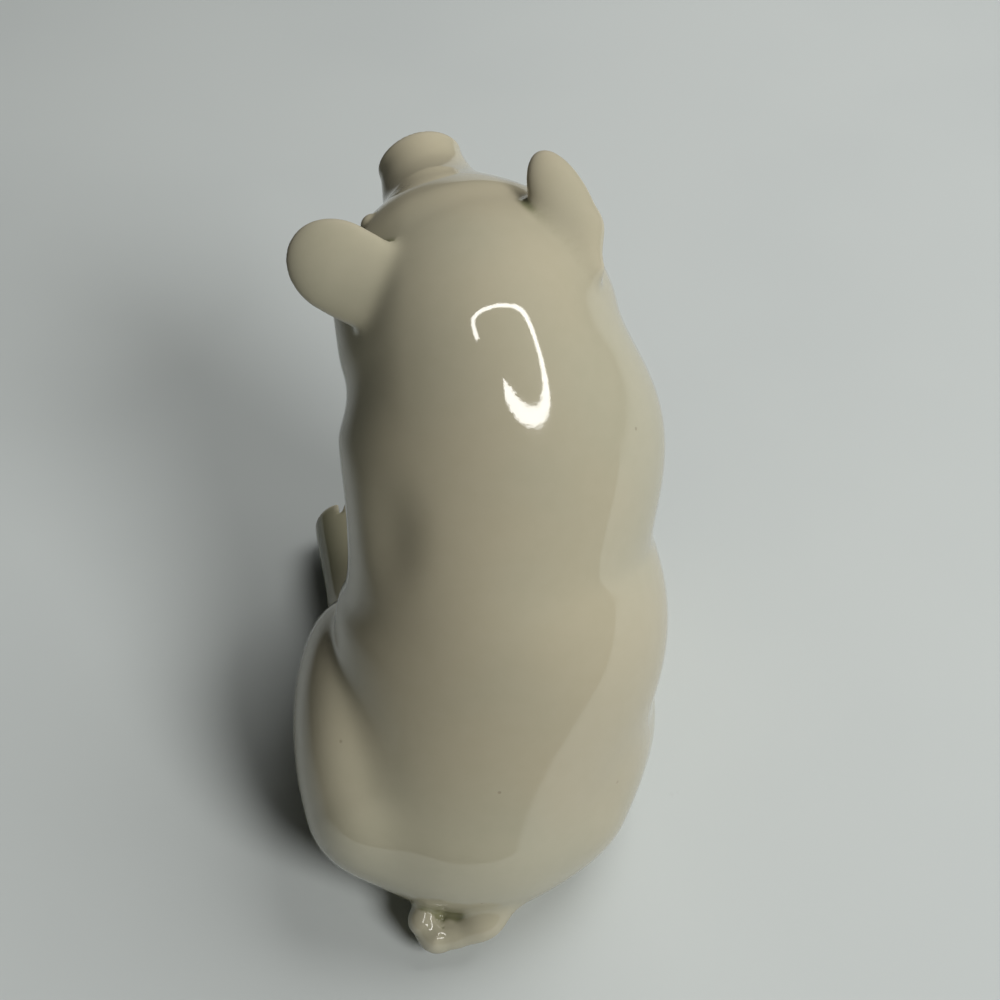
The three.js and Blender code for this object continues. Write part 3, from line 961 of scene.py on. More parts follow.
class Potter:
    """Turns the pig's distance fields into one closed skin."""

    COARSE = 3.0
    MIDDLE = 1.5
    FINE = 0.75
    BORDER = 3.0
    SLACK = 0.9
    FILLED = -0.01
    FILL_ROUNDS = 8
    PASSES = 2
    SMOOTH_ROUNDS = 2
    SETTLE_STEP = 0.1
    SETTLE_MOST = 0.5
    LEAST_STEEP = 0.25
    NORMAL_STEP = 0.15
    INNER = (0.6, 1.4)
    BATCH = 40_000
    THREADS = 4
    SHARP_BEND = 0.2

    def __init__(self, pig: Pig) -> None:
        """Takes the form to make.

        Args:
            pig: The form.
        """
        self.pig = pig
        self.low = np.array(CAD_BOX[0]) / MM - self.BORDER
        self.high = np.array(CAD_BOX[1]) / MM + self.BORDER

    def measure(self, form: Field, points: np.ndarray) -> np.ndarray:
        """Returns a field at many points, in batches side by side."""
        batches = [points[i : i + self.BATCH] for i in range(0, len(points), self.BATCH)]
        with ThreadPoolExecutor(self.THREADS) as pool:
            return np.concatenate(list(pool.map(form, batches)))

    def slopes(self, form: Field, points: np.ndarray, here: np.ndarray, step: float) -> np.ndarray:
        """Measures a field's gradient.

        Args:
            form: The field.
            points: Where to measure.
            here: The field at those points.
            step: How far ahead to look.

        Returns:
            One gradient per point.
        """
        columns = [(self.measure(form, points + axis) - here) / step for axis in np.eye(3) * step]
        return np.stack(columns, 1)

    @staticmethod
    def _corners(nodes: np.ndarray) -> list[np.ndarray]:
        """Returns eight views of a grid's nodes: one for each corner of its cells."""
        cells = [n - 1 for n in nodes.shape]
        return [
            nodes[tuple(slice(c, c + n) for c, n in zip(corner, cells))]
            for corner in product((0, 1), repeat=3)
        ]

    @staticmethod
    def _halved(cells: np.ndarray) -> np.ndarray:
        """Returns each cell's value for the eight cells of half its size."""
        return cells.repeat(2, 0).repeat(2, 1).repeat(2, 2)

    def _grid(self) -> np.ndarray:
        """Returns the field on the fine grid, measured only near the surface."""
        nodes = np.ceil((self.high - self.low) / self.COARSE).astype(int) + 1
        where = np.argwhere(np.ones(nodes, bool))
        value = self.measure(self.pig.solid, self.low + where * self.COARSE).reshape(nodes)
        for pitch in (self.MIDDLE, self.FINE):
            corners = self._corners(value)
            slack = self.SLACK * pitch
            crossed = (np.min(corners, axis=0) < slack) & (np.max(corners, axis=0) > -slack)
            crossed = self._halved(crossed)
            value = np.pad(self._halved(corners[0]), ((0, 1),) * 3, mode="edge")
            need = np.zeros(value.shape, bool)
            for corner in self._corners(need):
                corner |= crossed
            value[need] = self.measure(self.pig.solid, self.low + np.argwhere(need) * pitch)
        self._untangle(value)
        return value

    def _untangle(self, value: np.ndarray) -> None:
        """Fills the weakest outer node of grid faces whose corners alternate, so that no net forks."""
        shape = np.array(value.shape)
        for axis in [0, 1, 2] * self.FILL_ROUNDS:
            u, v = np.eye(3, dtype=int)[[k for k in range(3) if k != axis]]
            corners = np.stack([np.zeros(3, int), u, u + v, v])
            last = shape - (u + v)
            inside = [
                (value < 0)[tuple(slice(c, n + c) for c, n in zip(corner, last))]
                for corner in corners
            ]
            forks = (inside[0] == inside[2]) & (inside[1] == inside[3]) & (inside[0] != inside[1])
            nodes = np.argwhere(forks)[:, None, :] + corners[None]
            found = value[tuple(nodes.reshape(-1, 3).T)].reshape(-1, 4)
            weakest = np.argmin(np.where(found < 0, FAR, found), axis=1)
            value[tuple(nodes[np.arange(len(found)), weakest].T)] = self.FILLED

    def _nets(self, value: np.ndarray) -> tuple[np.ndarray, np.ndarray]:
        """Draws a surface net through the grid.

        Args:
            value: The field at the grid's nodes.

        Returns:
            The vertices in millimetres, and the triangles.
        """
        inside = value < 0
        cells = tuple(n - 1 for n in value.shape)
        total = np.zeros((*cells, 3))
        count = np.zeros(cells)
        quads = []
        for axis in range(3):
            lo = [slice(None)] * 3
            hi = [slice(None)] * 3
            lo[axis], hi[axis] = slice(None, -1), slice(1, None)
            a, b = value[tuple(lo)], value[tuple(hi)]
            change = inside[tuple(lo)] != inside[tuple(hi)]
            where = np.argwhere(change)
            at = where.astype(float)
            at[:, axis] += a[change] / (a[change] - b[change])
            others = [k for k in range(3) if k != axis]
            corners = []
            for du, dv in ((0, 0), (1, 0), (1, 1), (0, 1)):
                cell = where.copy()
                cell[:, others[0]] -= du
                cell[:, others[1]] -= dv
                np.add.at(total, tuple(cell.T), at)
                np.add.at(count, tuple(cell.T), 1)
                corners.append(cell)
            ring = np.stack(corners, 1)
            flip = inside[tuple(lo)][change] == (axis == 1)
            ring[flip] = ring[flip][:, ::-1]
            quads.append(ring)
        used = count > 0
        number = np.cumsum(used).reshape(cells) - 1
        points = self.low + total[used] / count[used][:, None] * self.FINE
        ring = np.concatenate(quads)
        quad = number[ring[..., 0], ring[..., 1], ring[..., 2]]
        return points, np.concatenate([quad[:, [0, 1, 2]], quad[:, [0, 2, 3]]])

    def make_skin(self) -> Mesh:
        """Returns the whole pig as one closed mesh with smooth normals."""
        points, faces = self._nets(self._grid())
        mesh = Mesh(points, faces, np.zeros_like(points), {})
        for _ in range(self.PASSES):
            mesh.points = mesh.relax(mesh.points, self.SMOOTH_ROUNDS)
            self._settle(mesh)
        self._refine(mesh)
        mesh.points = mesh.relax(mesh.points, 1)
        self._settle(mesh)
        here = self.measure(self.pig.solid, mesh.points)
        slopes = self.slopes(self.pig.solid, mesh.points, here, self.NORMAL_STEP)
        mesh.normals = unit(mesh.relax(unit(slopes), self.SMOOTH_ROUNDS))
        mesh.values["bend"] = mesh.bend()
        mesh.values["inner"] = ease(-self.measure(self.pig.skin, mesh.points), *self.INNER)
        return mesh

    def _settle(self, mesh: Mesh) -> None:
        """Moves the mesh's vertices on to the surface and takes their normals from it."""
        off = self.measure(self.pig.solid, mesh.points)
        slopes = self.slopes(self.pig.solid, mesh.points, off, self.SETTLE_STEP)
        step = off / np.maximum((slopes**2).sum(1), self.LEAST_STEEP)
        step = np.clip(step, -self.SETTLE_MOST, self.SETTLE_MOST)
        mesh.points = mesh.points - step[:, None] * slopes
        mesh.normals = unit(slopes)

    def _refine(self, mesh: Mesh) -> None:
        """Divides the mesh's faces where the skin bends sharply."""
        sharp = np.abs(mesh.bend()) > self.SHARP_BEND
        pairs, which = numbered_edges(mesh.faces)
        chosen = sharp[pairs].any(1)
        number = np.where(chosen, np.cumsum(chosen) - 1, -1)
        halfway = np.full(int(chosen.sum()), 0.5)
        mesh.split_edges(number[which], halfway, pairs[chosen])


class Joint(Enum):
    """How far out of the body each face of a joint lies, in millimetres."""

    BODY = 0.0
    SLIP_INNER = HAIRLINE
    SLIP_OUTER = HAIRLINE + SLIP
    LIMB = 2 * HAIRLINE + SLIP


@dataclass
class Piece:
    """One closed piece of the parted skin."""

    name: str
    faces: np.ndarray
    cap: np.ndarray


class Parting:
    """Parts the skin along its joints and closes every piece."""

    SEAM = SLIP / 2
    ASKEW = (0.3, 0.2, 0.93)
    PITCH = 1.5
    RIM_GAP = 0.6 * PITCH
    SAME_SPOT = 1e-6
    TRIES = 60
    NEAREST = 0.05
    SINK_ROUNDS = 8
    SINK_STEP = 0.2
    SINK_MOST = 1.5
    LEAST_STEEP = 0.35
    TUCK_ROUNDS = 6
    TUCK_STEP = 0.1
    TUCK_DEPTH = 0.5
    TUCK_MOST = 1.0

    def __init__(self, potter: Potter, mesh: Mesh) -> None:
        """Cuts the skin along every joint.

        Args:
            potter: Who measures the fields.
            mesh: The whole skin, which is divided in place.
        """
        self.potter = potter
        self.pig = potter.pig
        self.mesh = mesh
        self.joints = [piece.name for piece in self.pig.luted] + ["neck"]
        body = potter.measure(self.pig.body, mesh.points)
        hidden = mesh.values["inner"] > 0.5
        away = np.stack([potter.measure(piece.form.distance, mesh.points) for piece in self.pig.luted])
        for row, piece in enumerate(self.pig.luted):
            others = np.minimum(body, np.delete(away, row, axis=0).min(0))
            mesh.values[piece.name] = np.where(hidden, -FAR, others - away[row])
        mesh.values["neck"] = (mesh.points - np.asarray(self.pig.neck_at)) @ self.pig.neck_normal
        for name in self.joints:
            for level in (self.SEAM, -self.SEAM):
                mesh.values[name] = mesh.cut(mesh.values[name] - level) + level

    def pieces(self) -> list[Piece]:
        """Returns every piece of the pig, closed."""
        faces = self.mesh.faces
        mean = {name: values[faces].mean(1) for name, values in self.mesh.values.items()}
        neck = np.digitize(mean["neck"], [-self.SEAM, self.SEAM])
        label = np.array(["torso", "neck_slip", "head"], dtype=object)[neck]
        for piece in self.pig.luted:
            limb = self._largest(mean[piece.name] > self.SEAM)
            label[limb] = piece.name
            slip = self._largest((mean[piece.name] > -self.SEAM) & ~limb)
            label[slip] = piece.name + "_slip"
        return [self._close(str(name), faces[label == name]) for name in sorted(set(label))]

    def _largest(self, chosen: np.ndarray) -> np.ndarray:
        """Keeps the largest group of faces that are connected along edges.

        Args:
            chosen: Which faces are chosen.

        Returns:
            Which of them are in that group.
        """
        edge = numbered_edges(self.mesh.faces[chosen])[1]
        group, before = np.arange(len(edge)), None
        while before is None or (group != before).any():
            before = group
            low = np.full(edge.max() + 1, len(edge))
            np.minimum.at(low, edge.ravel(), group.repeat(3))
            group = group[low[edge].min(1)]
        names, count = np.unique(group, return_counts=True)
        kept = np.zeros(len(chosen), bool)
        kept[np.flatnonzero(chosen)[group == names[np.argmax(count)]]] = True
        return kept

    def _close(self, name: str, faces: np.ndarray) -> Piece:
        """Closes a piece where the joints left it open.

        Args:
            name: The piece's name.
            faces: Its faces on the skin.

        Returns:
            The closed piece.
        """
        caps = []
        joints: dict[str, list[np.ndarray]] = {}
        for rim in rims(faces):
            joints.setdefault(self._joint_of(rim), []).append(rim)
        for joint, loops in joints.items():
            if joint == "neck":
                for group in self._paired(loops):
                    caps.append(self._patch(faces, group, self.pig.neck_normal, None))
                continue
            axis = next(piece.form.joint_axis for piece in self.pig.luted if piece.name == joint)
            for rim in loops:
                outer = self.mesh.values[joint][rim].mean() > 0
                if name.endswith("_slip"):
                    face = Joint.SLIP_OUTER if outer else Joint.SLIP_INNER
                else:
                    face = Joint.LIMB if outer else Joint.BODY
                caps.append(self._patch(faces, [rim], axis, face))
        every = np.vstack([faces, *caps])
        cap = np.arange(len(every)) >= len(faces)
        LOG.info("%s: %d faces, %d joints", name, len(every), len(joints))
        return Piece(name, every, cap)

    def _joint_of(self, rim: np.ndarray) -> str:
        """Returns the name of the joint that a rim lies on."""
        off = [np.abs(np.abs(self.mesh.values[name][rim]) - self.SEAM).mean() for name in self.joints]
        return self.joints[int(np.argmin(off))]

    def _paired(self, loops: list[np.ndarray]) -> list[list[np.ndarray]]:
        """Returns the neck's rims in groups that lie in one plane: an outer and an inner one."""
        sides: dict[bool, list[np.ndarray]] = {}
        for rim in loops:
            sides.setdefault(bool(self.mesh.values["neck"][rim].mean() > 0), []).append(rim)
        return list(sides.values())

    def _patch(self, faces: np.ndarray, loops: list[np.ndarray], axis: np.ndarray,
               face: Joint | None) -> np.ndarray:
        """Fills one or more rims with a patch inside the clay.

        Args:
            faces: The faces whose rims they are.
            loops: The rims, the outer one and any hole in it.
            axis: Which way the joint faces, out of the body.
            face: How far out of the body the patch lies, or None for a flat one.

        Returns:
            The patch's faces. New vertices are added to the mesh.
        """
        ring = np.concatenate(loops)
        if face is not None:
            corners = self.mesh.points[ring] - self.mesh.points[ring].mean(0)
            facing = unit(np.cross(corners, np.roll(corners, -1, axis=0)).sum(0))
            axis = facing if facing @ axis > 0 else -facing
        across = unit(np.cross(axis, self.ASKEW))
        plane = np.stack([across, np.cross(axis, across)])
        flat = self.mesh.points[ring] @ plane.T
        starts = np.cumsum([0] + [len(loop) for loop in loops[:-1]])
        edges = np.concatenate([
            np.stack([np.arange(len(loop)), np.roll(np.arange(len(loop)), -1)], 1) + start
            for loop, start in zip(loops, starts)
        ])
        for _ in range(self.TRIES):
            inner = np.zeros((0, 2)) if face is None else self._fill_points(flat, edges)
            number = np.concatenate([ring, len(self.mesh.points) + np.arange(len(inner))])
            spots = [Vector(p) for p in np.vstack([flat, inner]).tolist()]
            found = delaunay_2d_cdt(spots, edges.tolist(), [], 0, self.SAME_SPOT)
            clear = all(len(set(number[ids].tolist())) == 1 for ids in found[3])
            if clear or len(loops) > 1:
                break
            flat = 0.5 * flat + 0.25 * (np.roll(flat, 1, axis=0) + np.roll(flat, -1, axis=0))
        if clear:
            if len(inner):
                self._add(self._lift(inner, flat, self.mesh.points[ring], plane, axis, face), ring)
            source = np.array([ids[0] for ids in found[3]])
            triangles = source[np.array(found[2])]
            middle = np.vstack([flat, inner])[triangles].mean(1)
            patch = number[triangles[within(middle, flat[edges])]]
        else:
            LOG.warning("a joint's rim crosses itself")
            patch = self._fan(loops)
        patch = self._part_chords(faces, patch)
        outside = {tuple(edge) for edge in rim_edges(faces).tolist()}
        same = sum(tuple(edge) in outside for edge in edges_of(patch).tolist())
        return patch[:, ::-1] if same else patch

    def _part_chords(self, faces: np.ndarray, patch: np.ndarray) -> np.ndarray:
        """Divides a patch's inner edges that the skin has too, so that no edge gets four faces.

        Args:
            faces: The faces of the skin.
            patch: The patch's faces.

        Returns:
            The patch's faces with those edges divided.
        """
        rim = {frozenset(edge) for edge in rim_edges(faces).tolist()}
        ends = np.unique(patch)
        near = faces[np.isin(faces, ends).sum(1) > 1]
        shared = {frozenset(edge) for edge in edges_of(near).tolist()} - rim
        rows = patch.tolist()
        edges = {frozenset(edge) for edge in edges_of(patch).tolist()}
        for chord in sorted(edges & shared, key=sorted):
            hub = len(self.mesh.points)
            pair = np.array(sorted(chord))
            self._add(self.mesh.points[pair].mean(0)[None, :], pair)
            for row in [row for row in rows if chord <= set(row)]:
                rows.remove(row)
                rows += [[hub if corner == end else corner for corner in row] for end in pair.tolist()]
        return np.array(rows)

    def _fan(self, loops: list[np.ndarray]) -> np.ndarray:
        """Returns faces from every rim to a new vertex in its middle."""
        parts = []
        for loop in loops:
            hub = len(self.mesh.points)
            self._add(self.mesh.points[loop].mean(0)[None, :], loop)
            parts.append(np.stack([loop, np.roll(loop, -1), np.full(len(loop), hub)], 1))
        return np.vstack(parts)

    def _fill_points(self, flat: np.ndarray, edges: np.ndarray) -> np.ndarray:
        """Returns a grid of points inside a rim, in the joint's plane."""
        axes = [np.arange(flat[:, k].min(), flat[:, k].max(), self.PITCH) for k in (0, 1)]
        grid = np.stack(np.meshgrid(*axes, indexing="ij"), -1).reshape(-1, 2)
        grid = grid[within(grid, flat[edges])]
        gap = np.sqrt(((grid[:, None] - flat[None]) ** 2).sum(2)).min(1)
        return grid[gap > self.RIM_GAP]

    def _lift(self, inner: np.ndarray, flat: np.ndarray, rim: np.ndarray, plane: np.ndarray,
              axis: np.ndarray, face: Joint) -> np.ndarray:
        """Moves points of the joint's plane to their depth in the clay.

        Args:
            inner: The points, in the plane.
            flat: The rim in the plane.
            rim: The rim in space.
            plane: The plane's two directions.
            axis: Which way the joint faces.
            face: How far out of the body the points go.

        Returns:
            The points in space.
        """
        weight = 1.0 / (((inner[:, None] - flat[None]) ** 2).sum(2) + self.NEAREST) ** 1.5
        depth = (weight * (rim @ axis)).sum(1) / weight.sum(1)
        points = inner @ plane + depth[:, None] * axis
        for _ in range(self.SINK_ROUNDS):
            off = self.pig.body(points)
            rise = (self.pig.body(points + self.SINK_STEP * axis) - off) / self.SINK_STEP
            step = (off - face.value) / np.maximum(rise, self.LEAST_STEEP)
            points = points - np.clip(step, -self.SINK_MOST, self.SINK_MOST)[:, None] * axis
        for _ in range(self.TUCK_ROUNDS):
            off = self.pig.skin(points)
            slopes = self.potter.slopes(self.pig.skin, points, off, self.TUCK_STEP)
            points = points - np.clip(off + self.TUCK_DEPTH, 0.0, self.TUCK_MOST)[:, None] * slopes
        return points

    def _add(self, points: np.ndarray, ring: np.ndarray) -> None:
        """Adds hidden vertices to the mesh.

        Args:
            points: Where they are.
            ring: The rim that they fill, whose mean normal they take.
        """
        mesh = self.mesh
        normal = unit(mesh.normals[ring].mean(0) + 1e-6)
        mesh.points = np.vstack([mesh.points, points])
        mesh.normals = np.vstack([mesh.normals, np.tile(normal, (len(points), 1))])
        for name, values in mesh.values.items():
            added = np.full(len(points), 1.0 if name == "inner" else 0.0)
            mesh.values[name] = np.concatenate([values, added])


Colour = tuple[float, float, float]


class Shading:
    """A material's nodes, with short calls for those that the finishes share."""

    def __init__(self, name: str) -> None:
        """Starts a material with one plain shader.

        Args:
            name: The material's name.
        """
        self.material = bpy.data.materials.new(name)
        self.material.use_nodes = True
        self.tree = self.material.node_tree
        self.shader = self.tree.nodes["Principled BSDF"]

    def add(self, kind: str, **inputs: object) -> bpy.types.Node:
        """Adds a node.

        Args:
            kind: The node's type.
            inputs: Values or outputs of other nodes for its sockets, by socket name with _ for a space.

        Returns:
            The node.
        """
        node = self.tree.nodes.new(kind)
        for name, value in inputs.items():
            self.set(node.inputs[name.replace("_", " ")], value)
        return node

    def set(self, socket: bpy.types.NodeSocket, value: object) -> None:
        """Links an output to a socket, or writes a plain value into it."""
        if isinstance(value, bpy.types.NodeSocket):
            self.tree.links.new(value, socket)
        elif isinstance(value, tuple) and len(value) == 3 and socket.type == "RGBA":
            socket.default_value = (*value, 1.0)
        else:
            socket.default_value = value

    def place(self) -> bpy.types.NodeSocket:
        """Returns the point on the object, in metres."""
        return self.add("ShaderNodeTexCoord").outputs["Object"]

    def value(self, name: str) -> bpy.types.NodeSocket:
        """Returns a value that is kept at the mesh's vertices."""
        node = self.add("ShaderNodeAttribute")
        node.attribute_name = name
        return node.outputs["Fac"]

    def noise(self, scale: float, detail: float) -> bpy.types.NodeSocket:
        """Returns noise from 0 to 1 with so many waves per metre and finer octaves."""
        node = self.add("ShaderNodeTexNoise", Vector=self.place(), Scale=scale, Detail=detail)
        return node.outputs["Fac"]

    def between(self, source: bpy.types.NodeSocket, low: float, high: float, first: float = 0.0,
                last: float = 1.0) -> bpy.types.NodeSocket:
        """Maps a range of values smoothly to another.

        Args:
            source: The values.
            low: Where the mapped values leave first.
            high: Where they reach last.
            first: The lowest mapped value.
            last: The highest one.

        Returns:
            The mapped values.
        """
        node = self.tree.nodes.new("ShaderNodeMapRange")
        node.interpolation_type = "SMOOTHSTEP"
        names = ("Value", "From Min", "From Max", "To Min", "To Max")
        for name, value in zip(names, (source, low, high, first, last)):
            self.set(node.inputs[name], value)
        return node.outputs["Result"]

    def maths(self, operation: str, a: object, b: object) -> bpy.types.NodeSocket:
        """Returns the result of a sum on two values."""
        node = self.tree.nodes.new("ShaderNodeMath")
        node.operation = operation
        self.set(node.inputs[0], a)
        self.set(node.inputs[1], b)
        return node.outputs["Value"]

    def mix(self, share: object, a: object, b: object) -> bpy.types.NodeSocket:
        """Returns a colour that goes from a to b by a share."""
        node = self.tree.nodes.new("ShaderNodeMix")
        node.data_type = "RGBA"
        for socket, value in zip((node.inputs[0], node.inputs[6], node.inputs[7]), (share, a, b)):
            self.set(socket, value)
        return node.outputs[2]

    def bump(self, height: bpy.types.NodeSocket, rise: float,
             below: object = None) -> bpy.types.NodeSocket:
        """Returns normals with a relief of so many metres over another relief."""
        node = self.add("ShaderNodeBump", Height=height, Distance=rise, Strength=1.0)
        if below is not None:
            self.set(node.inputs["Normal"], below)
        return node.outputs["Normal"]


@dataclass(frozen=True)
class Glaze:
    """Clear glaze over ivory porcelain: thick in the creases, with painted shade there and on the
    trotters, thin on the ridges, bare underneath.
    """

    name: str
    ivory: Colour = (0.45, 0.405, 0.285)
    cool: Colour = (0.42, 0.395, 0.285)
    # pooled glaze darkened further with painted shade, for the creases and the trotters
    pooled: Colour = (0.2, 0.2, 0.105)
    thin: Colour = (0.5, 0.45, 0.335)
    bisque: Colour = (0.55, 0.5, 0.41)
    speck: Colour = (0.16, 0.12, 0.07)
    clouds: float = 28.0
    mottle: float = 420.0
    mottled: float = 0.12
    crease: tuple[float, float] = (-0.03, -0.4)
    in_creases: float = 0.9
    on_trotters: float = 0.75
    ridge: tuple[float, float] = (0.12, 0.6)
    on_ridges: float = 0.6
    specks: float = 210.0
    speck_edge: tuple[float, float] = (0.07, 0.03)
    speck_shade: float = 0.35
    gloss: float = 0.05
    gloss_range: tuple[float, float] = (0.8, 1.3)
    matt: float = 0.75
    index: float = 1.72
    ripple: float = 0.00004
    orange_peel: float = 0.0000035
    speck_pit: float = 0.00002
    bare_grain: float = 0.00008

    def paint(self) -> bpy.types.Material:
        """Returns the finish as a material."""
        s = Shading(self.name)
        bend, bare, pool = s.value("bend"), s.value("bare"), s.value("pool")
        colour = s.mix(s.between(s.noise(self.clouds, 2.0), 0.35, 0.65), self.ivory, self.cool)
        mottle = s.between(s.noise(self.mottle, 3.0), 0.3, 0.7, last=self.mottled)
        colour = s.mix(mottle, colour, self.thin)
        # creases: pooled glaze plus painted shade, darker where the skin bends inwards
        colour = s.mix(s.between(bend, *self.crease, last=self.in_creases), colour, self.pooled)
        # trotters: pooled glaze plus painted shade, from the pool value of the low front of the pig
        colour = s.mix(s.maths("MULTIPLY", pool, self.on_trotters), colour, self.pooled)
        colour = s.mix(s.between(bend, *self.ridge, last=self.on_ridges), colour, self.thin)
        cells = s.add("ShaderNodeTexVoronoi", Vector=s.place(), Scale=self.specks, Randomness=1.0)
        rare = s.between(s.noise(90.0, 0.0), 0.66, 0.7)
        spot = s.maths("MULTIPLY", s.between(cells.outputs["Distance"], *self.speck_edge), rare)
        colour = s.mix(s.maths("MULTIPLY", spot, self.speck_shade), colour, self.speck)
        colour = s.mix(bare, colour, s.mix(s.noise(900.0, 4.0), self.bisque, self.thin))
        s.set(s.shader.inputs["Base Color"], colour)
        least, most = (self.gloss * share for share in self.gloss_range)
        gloss = s.between(s.noise(60.0, 2.0), 0.3, 0.7, least, most)
        rough = s.maths("ADD", gloss, s.maths("MULTIPLY", bare, self.matt - self.gloss))
        s.set(s.shader.inputs["Roughness"], rough)
        s.shader.inputs["IOR"].default_value = self.index
        relief = s.bump(s.noise(130.0, 1.0), self.ripple)
        relief = s.bump(s.noise(1500.0, 2.0), self.orange_peel, relief)
        relief = s.bump(s.maths("SUBTRACT", 1.0, spot), self.speck_pit, relief)
        relief = s.bump(s.maths("MULTIPLY", bare, s.noise(3500.0, 4.0)), self.bare_grain, relief)
        s.set(s.shader.inputs["Normal"], relief)
        return s.material


@dataclass(frozen=True)
class TableTop:
    """A pale, even table.

    What the glaze mirrors of it ends behind the pig, and on the left it carries a painted shadow.
    """

    pale: Colour = (0.56, 0.59, 0.571)
    worn: Colour = (0.54, 0.57, 0.554)
    scuff: Colour = (0.4, 0.41, 0.39)
    beyond: Colour = (0.07, 0.068, 0.06)
    scuffed: float = 0.55
    edge: tuple[float, float] = (0.092, 0.102)
    # where the painted shadow on the left, seen only in the glaze, starts and is full
    shade: tuple[float, float] = (0.045, 0.15)
    roughness: float = 0.45
    sheen: float = 0.25
    grain: float = 0.000006

    def paint(self) -> bpy.types.Material:
        """Returns the finish as a material."""
        s = Shading("table_top")
        colour = s.mix(s.between(s.noise(9.0, 3.0), 0.35, 0.65), self.pale, self.worn)
        fine = s.between(s.noise(260.0, 5.0), 0.7, 0.78)
        wide = s.between(s.noise(22.0, 1.0), 0.6, 0.72)
        marks = s.maths("MULTIPLY", fine, wide)
        colour = s.mix(s.maths("MULTIPLY", marks, self.scuffed), colour, self.scuff)
        axes = s.add("ShaderNodeSeparateXYZ", Vector=s.place())
        past = s.between(axes.outputs["Y"], *self.edge)
        # painted shadow: as the glaze mirrors it, the table is dark on the left, where the pig's shadow
        # falls
        past = s.maths("MAXIMUM", past, s.between(axes.outputs["X"], *self.shade))
        mirrored = s.add("ShaderNodeLightPath").outputs["Is Glossy Ray"]
        colour = s.mix(s.maths("MULTIPLY", past, mirrored), colour, self.beyond)
        s.set(s.shader.inputs["Base Color"], colour)
        s.shader.inputs["Roughness"].default_value = self.roughness
        s.shader.inputs["Specular IOR Level"].default_value = self.sheen
        s.set(s.shader.inputs["Normal"], s.bump(s.noise(1800.0, 3.0), self.grain))
        return s.material


@dataclass(frozen=True)
class Glow:
    """An even light."""

    name: str
    colour: Colour
    strength: float

    def paint(self) -> bpy.types.Material:
        """Returns the light as a material."""
        s = Shading(self.name)
        s.shader.inputs["Base Color"].default_value = (0.0, 0.0, 0.0, 1.0)
        s.shader.inputs["Emission Color"].default_value = (*self.colour, 1.0)
        s.shader.inputs["Emission Strength"].default_value = self.strength
        return s.material


@dataclass
class RingLamp:
    """An oval ring of light, open where the camera stands in front of it. Angles are from its right."""

    centre: tuple[float, float, float] = (-251.0, 591.0, 721.0)
    across: tuple[float, float, float] = (-0.968, -0.144, -0.206)
    upright: tuple[float, float, float] = (0.0, -0.821, 0.571)
    reach: tuple[float, float] = (435.0, 270.0)
    band: float = 66.0
    first: float = -108.0
    last: float = 204.0
    steps: int = 96

    def mesh(self) -> bpy.types.Mesh:
        """Returns the ring as a flat band of faces."""
        centre = np.asarray(self.centre)
        rows = []
        for angle in np.radians(np.linspace(self.first, self.last, self.steps + 1)):
            for side in (-0.5, 0.5):
                wide, high = (r + side * self.band for r in self.reach)
                spot = centre + wide * math.cos(angle) * unit(self.across)
                spot = spot + high * math.sin(angle) * unit(self.upright)
                rows.append((spot * MM).tolist())
        faces = [(2 * i, 2 * i + 1, 2 * i + 3, 2 * i + 2) for i in range(self.steps)]
        mesh = bpy.data.meshes.new("ring_lamp")
        mesh.from_pydata(rows, [], faces)
        return mesh


@dataclass(frozen=True)
class SoftLamp:
    """A round soft lamp that lights the pig without being mirrored in its glaze."""

    name: str
    towards: tuple[float, float, float]
    level: float
    size: float
    distance: float = 0.9
    AIM = Vector((0.0, 0.0, 50.0)) * MM

    def hang(self) -> None:
        """Hangs the lamp over the table, facing the pig."""
        data = bpy.data.lights.new(self.name, "AREA")
        data.shape = "DISK"
        data.size = self.size
        data.energy = self.level * (math.pi * self.distance) ** 2
        lamp = bpy.data.objects.new(self.name, data)
        way = Vector(self.towards).normalized()
        lamp.location = self.AIM + self.distance * way
        lamp.rotation_mode = "QUATERNION"
        lamp.rotation_quaternion = way.to_track_quat("Z", "Y")
        lamp.visible_glossy = False
        bpy.context.scene.collection.objects.link(lamp)


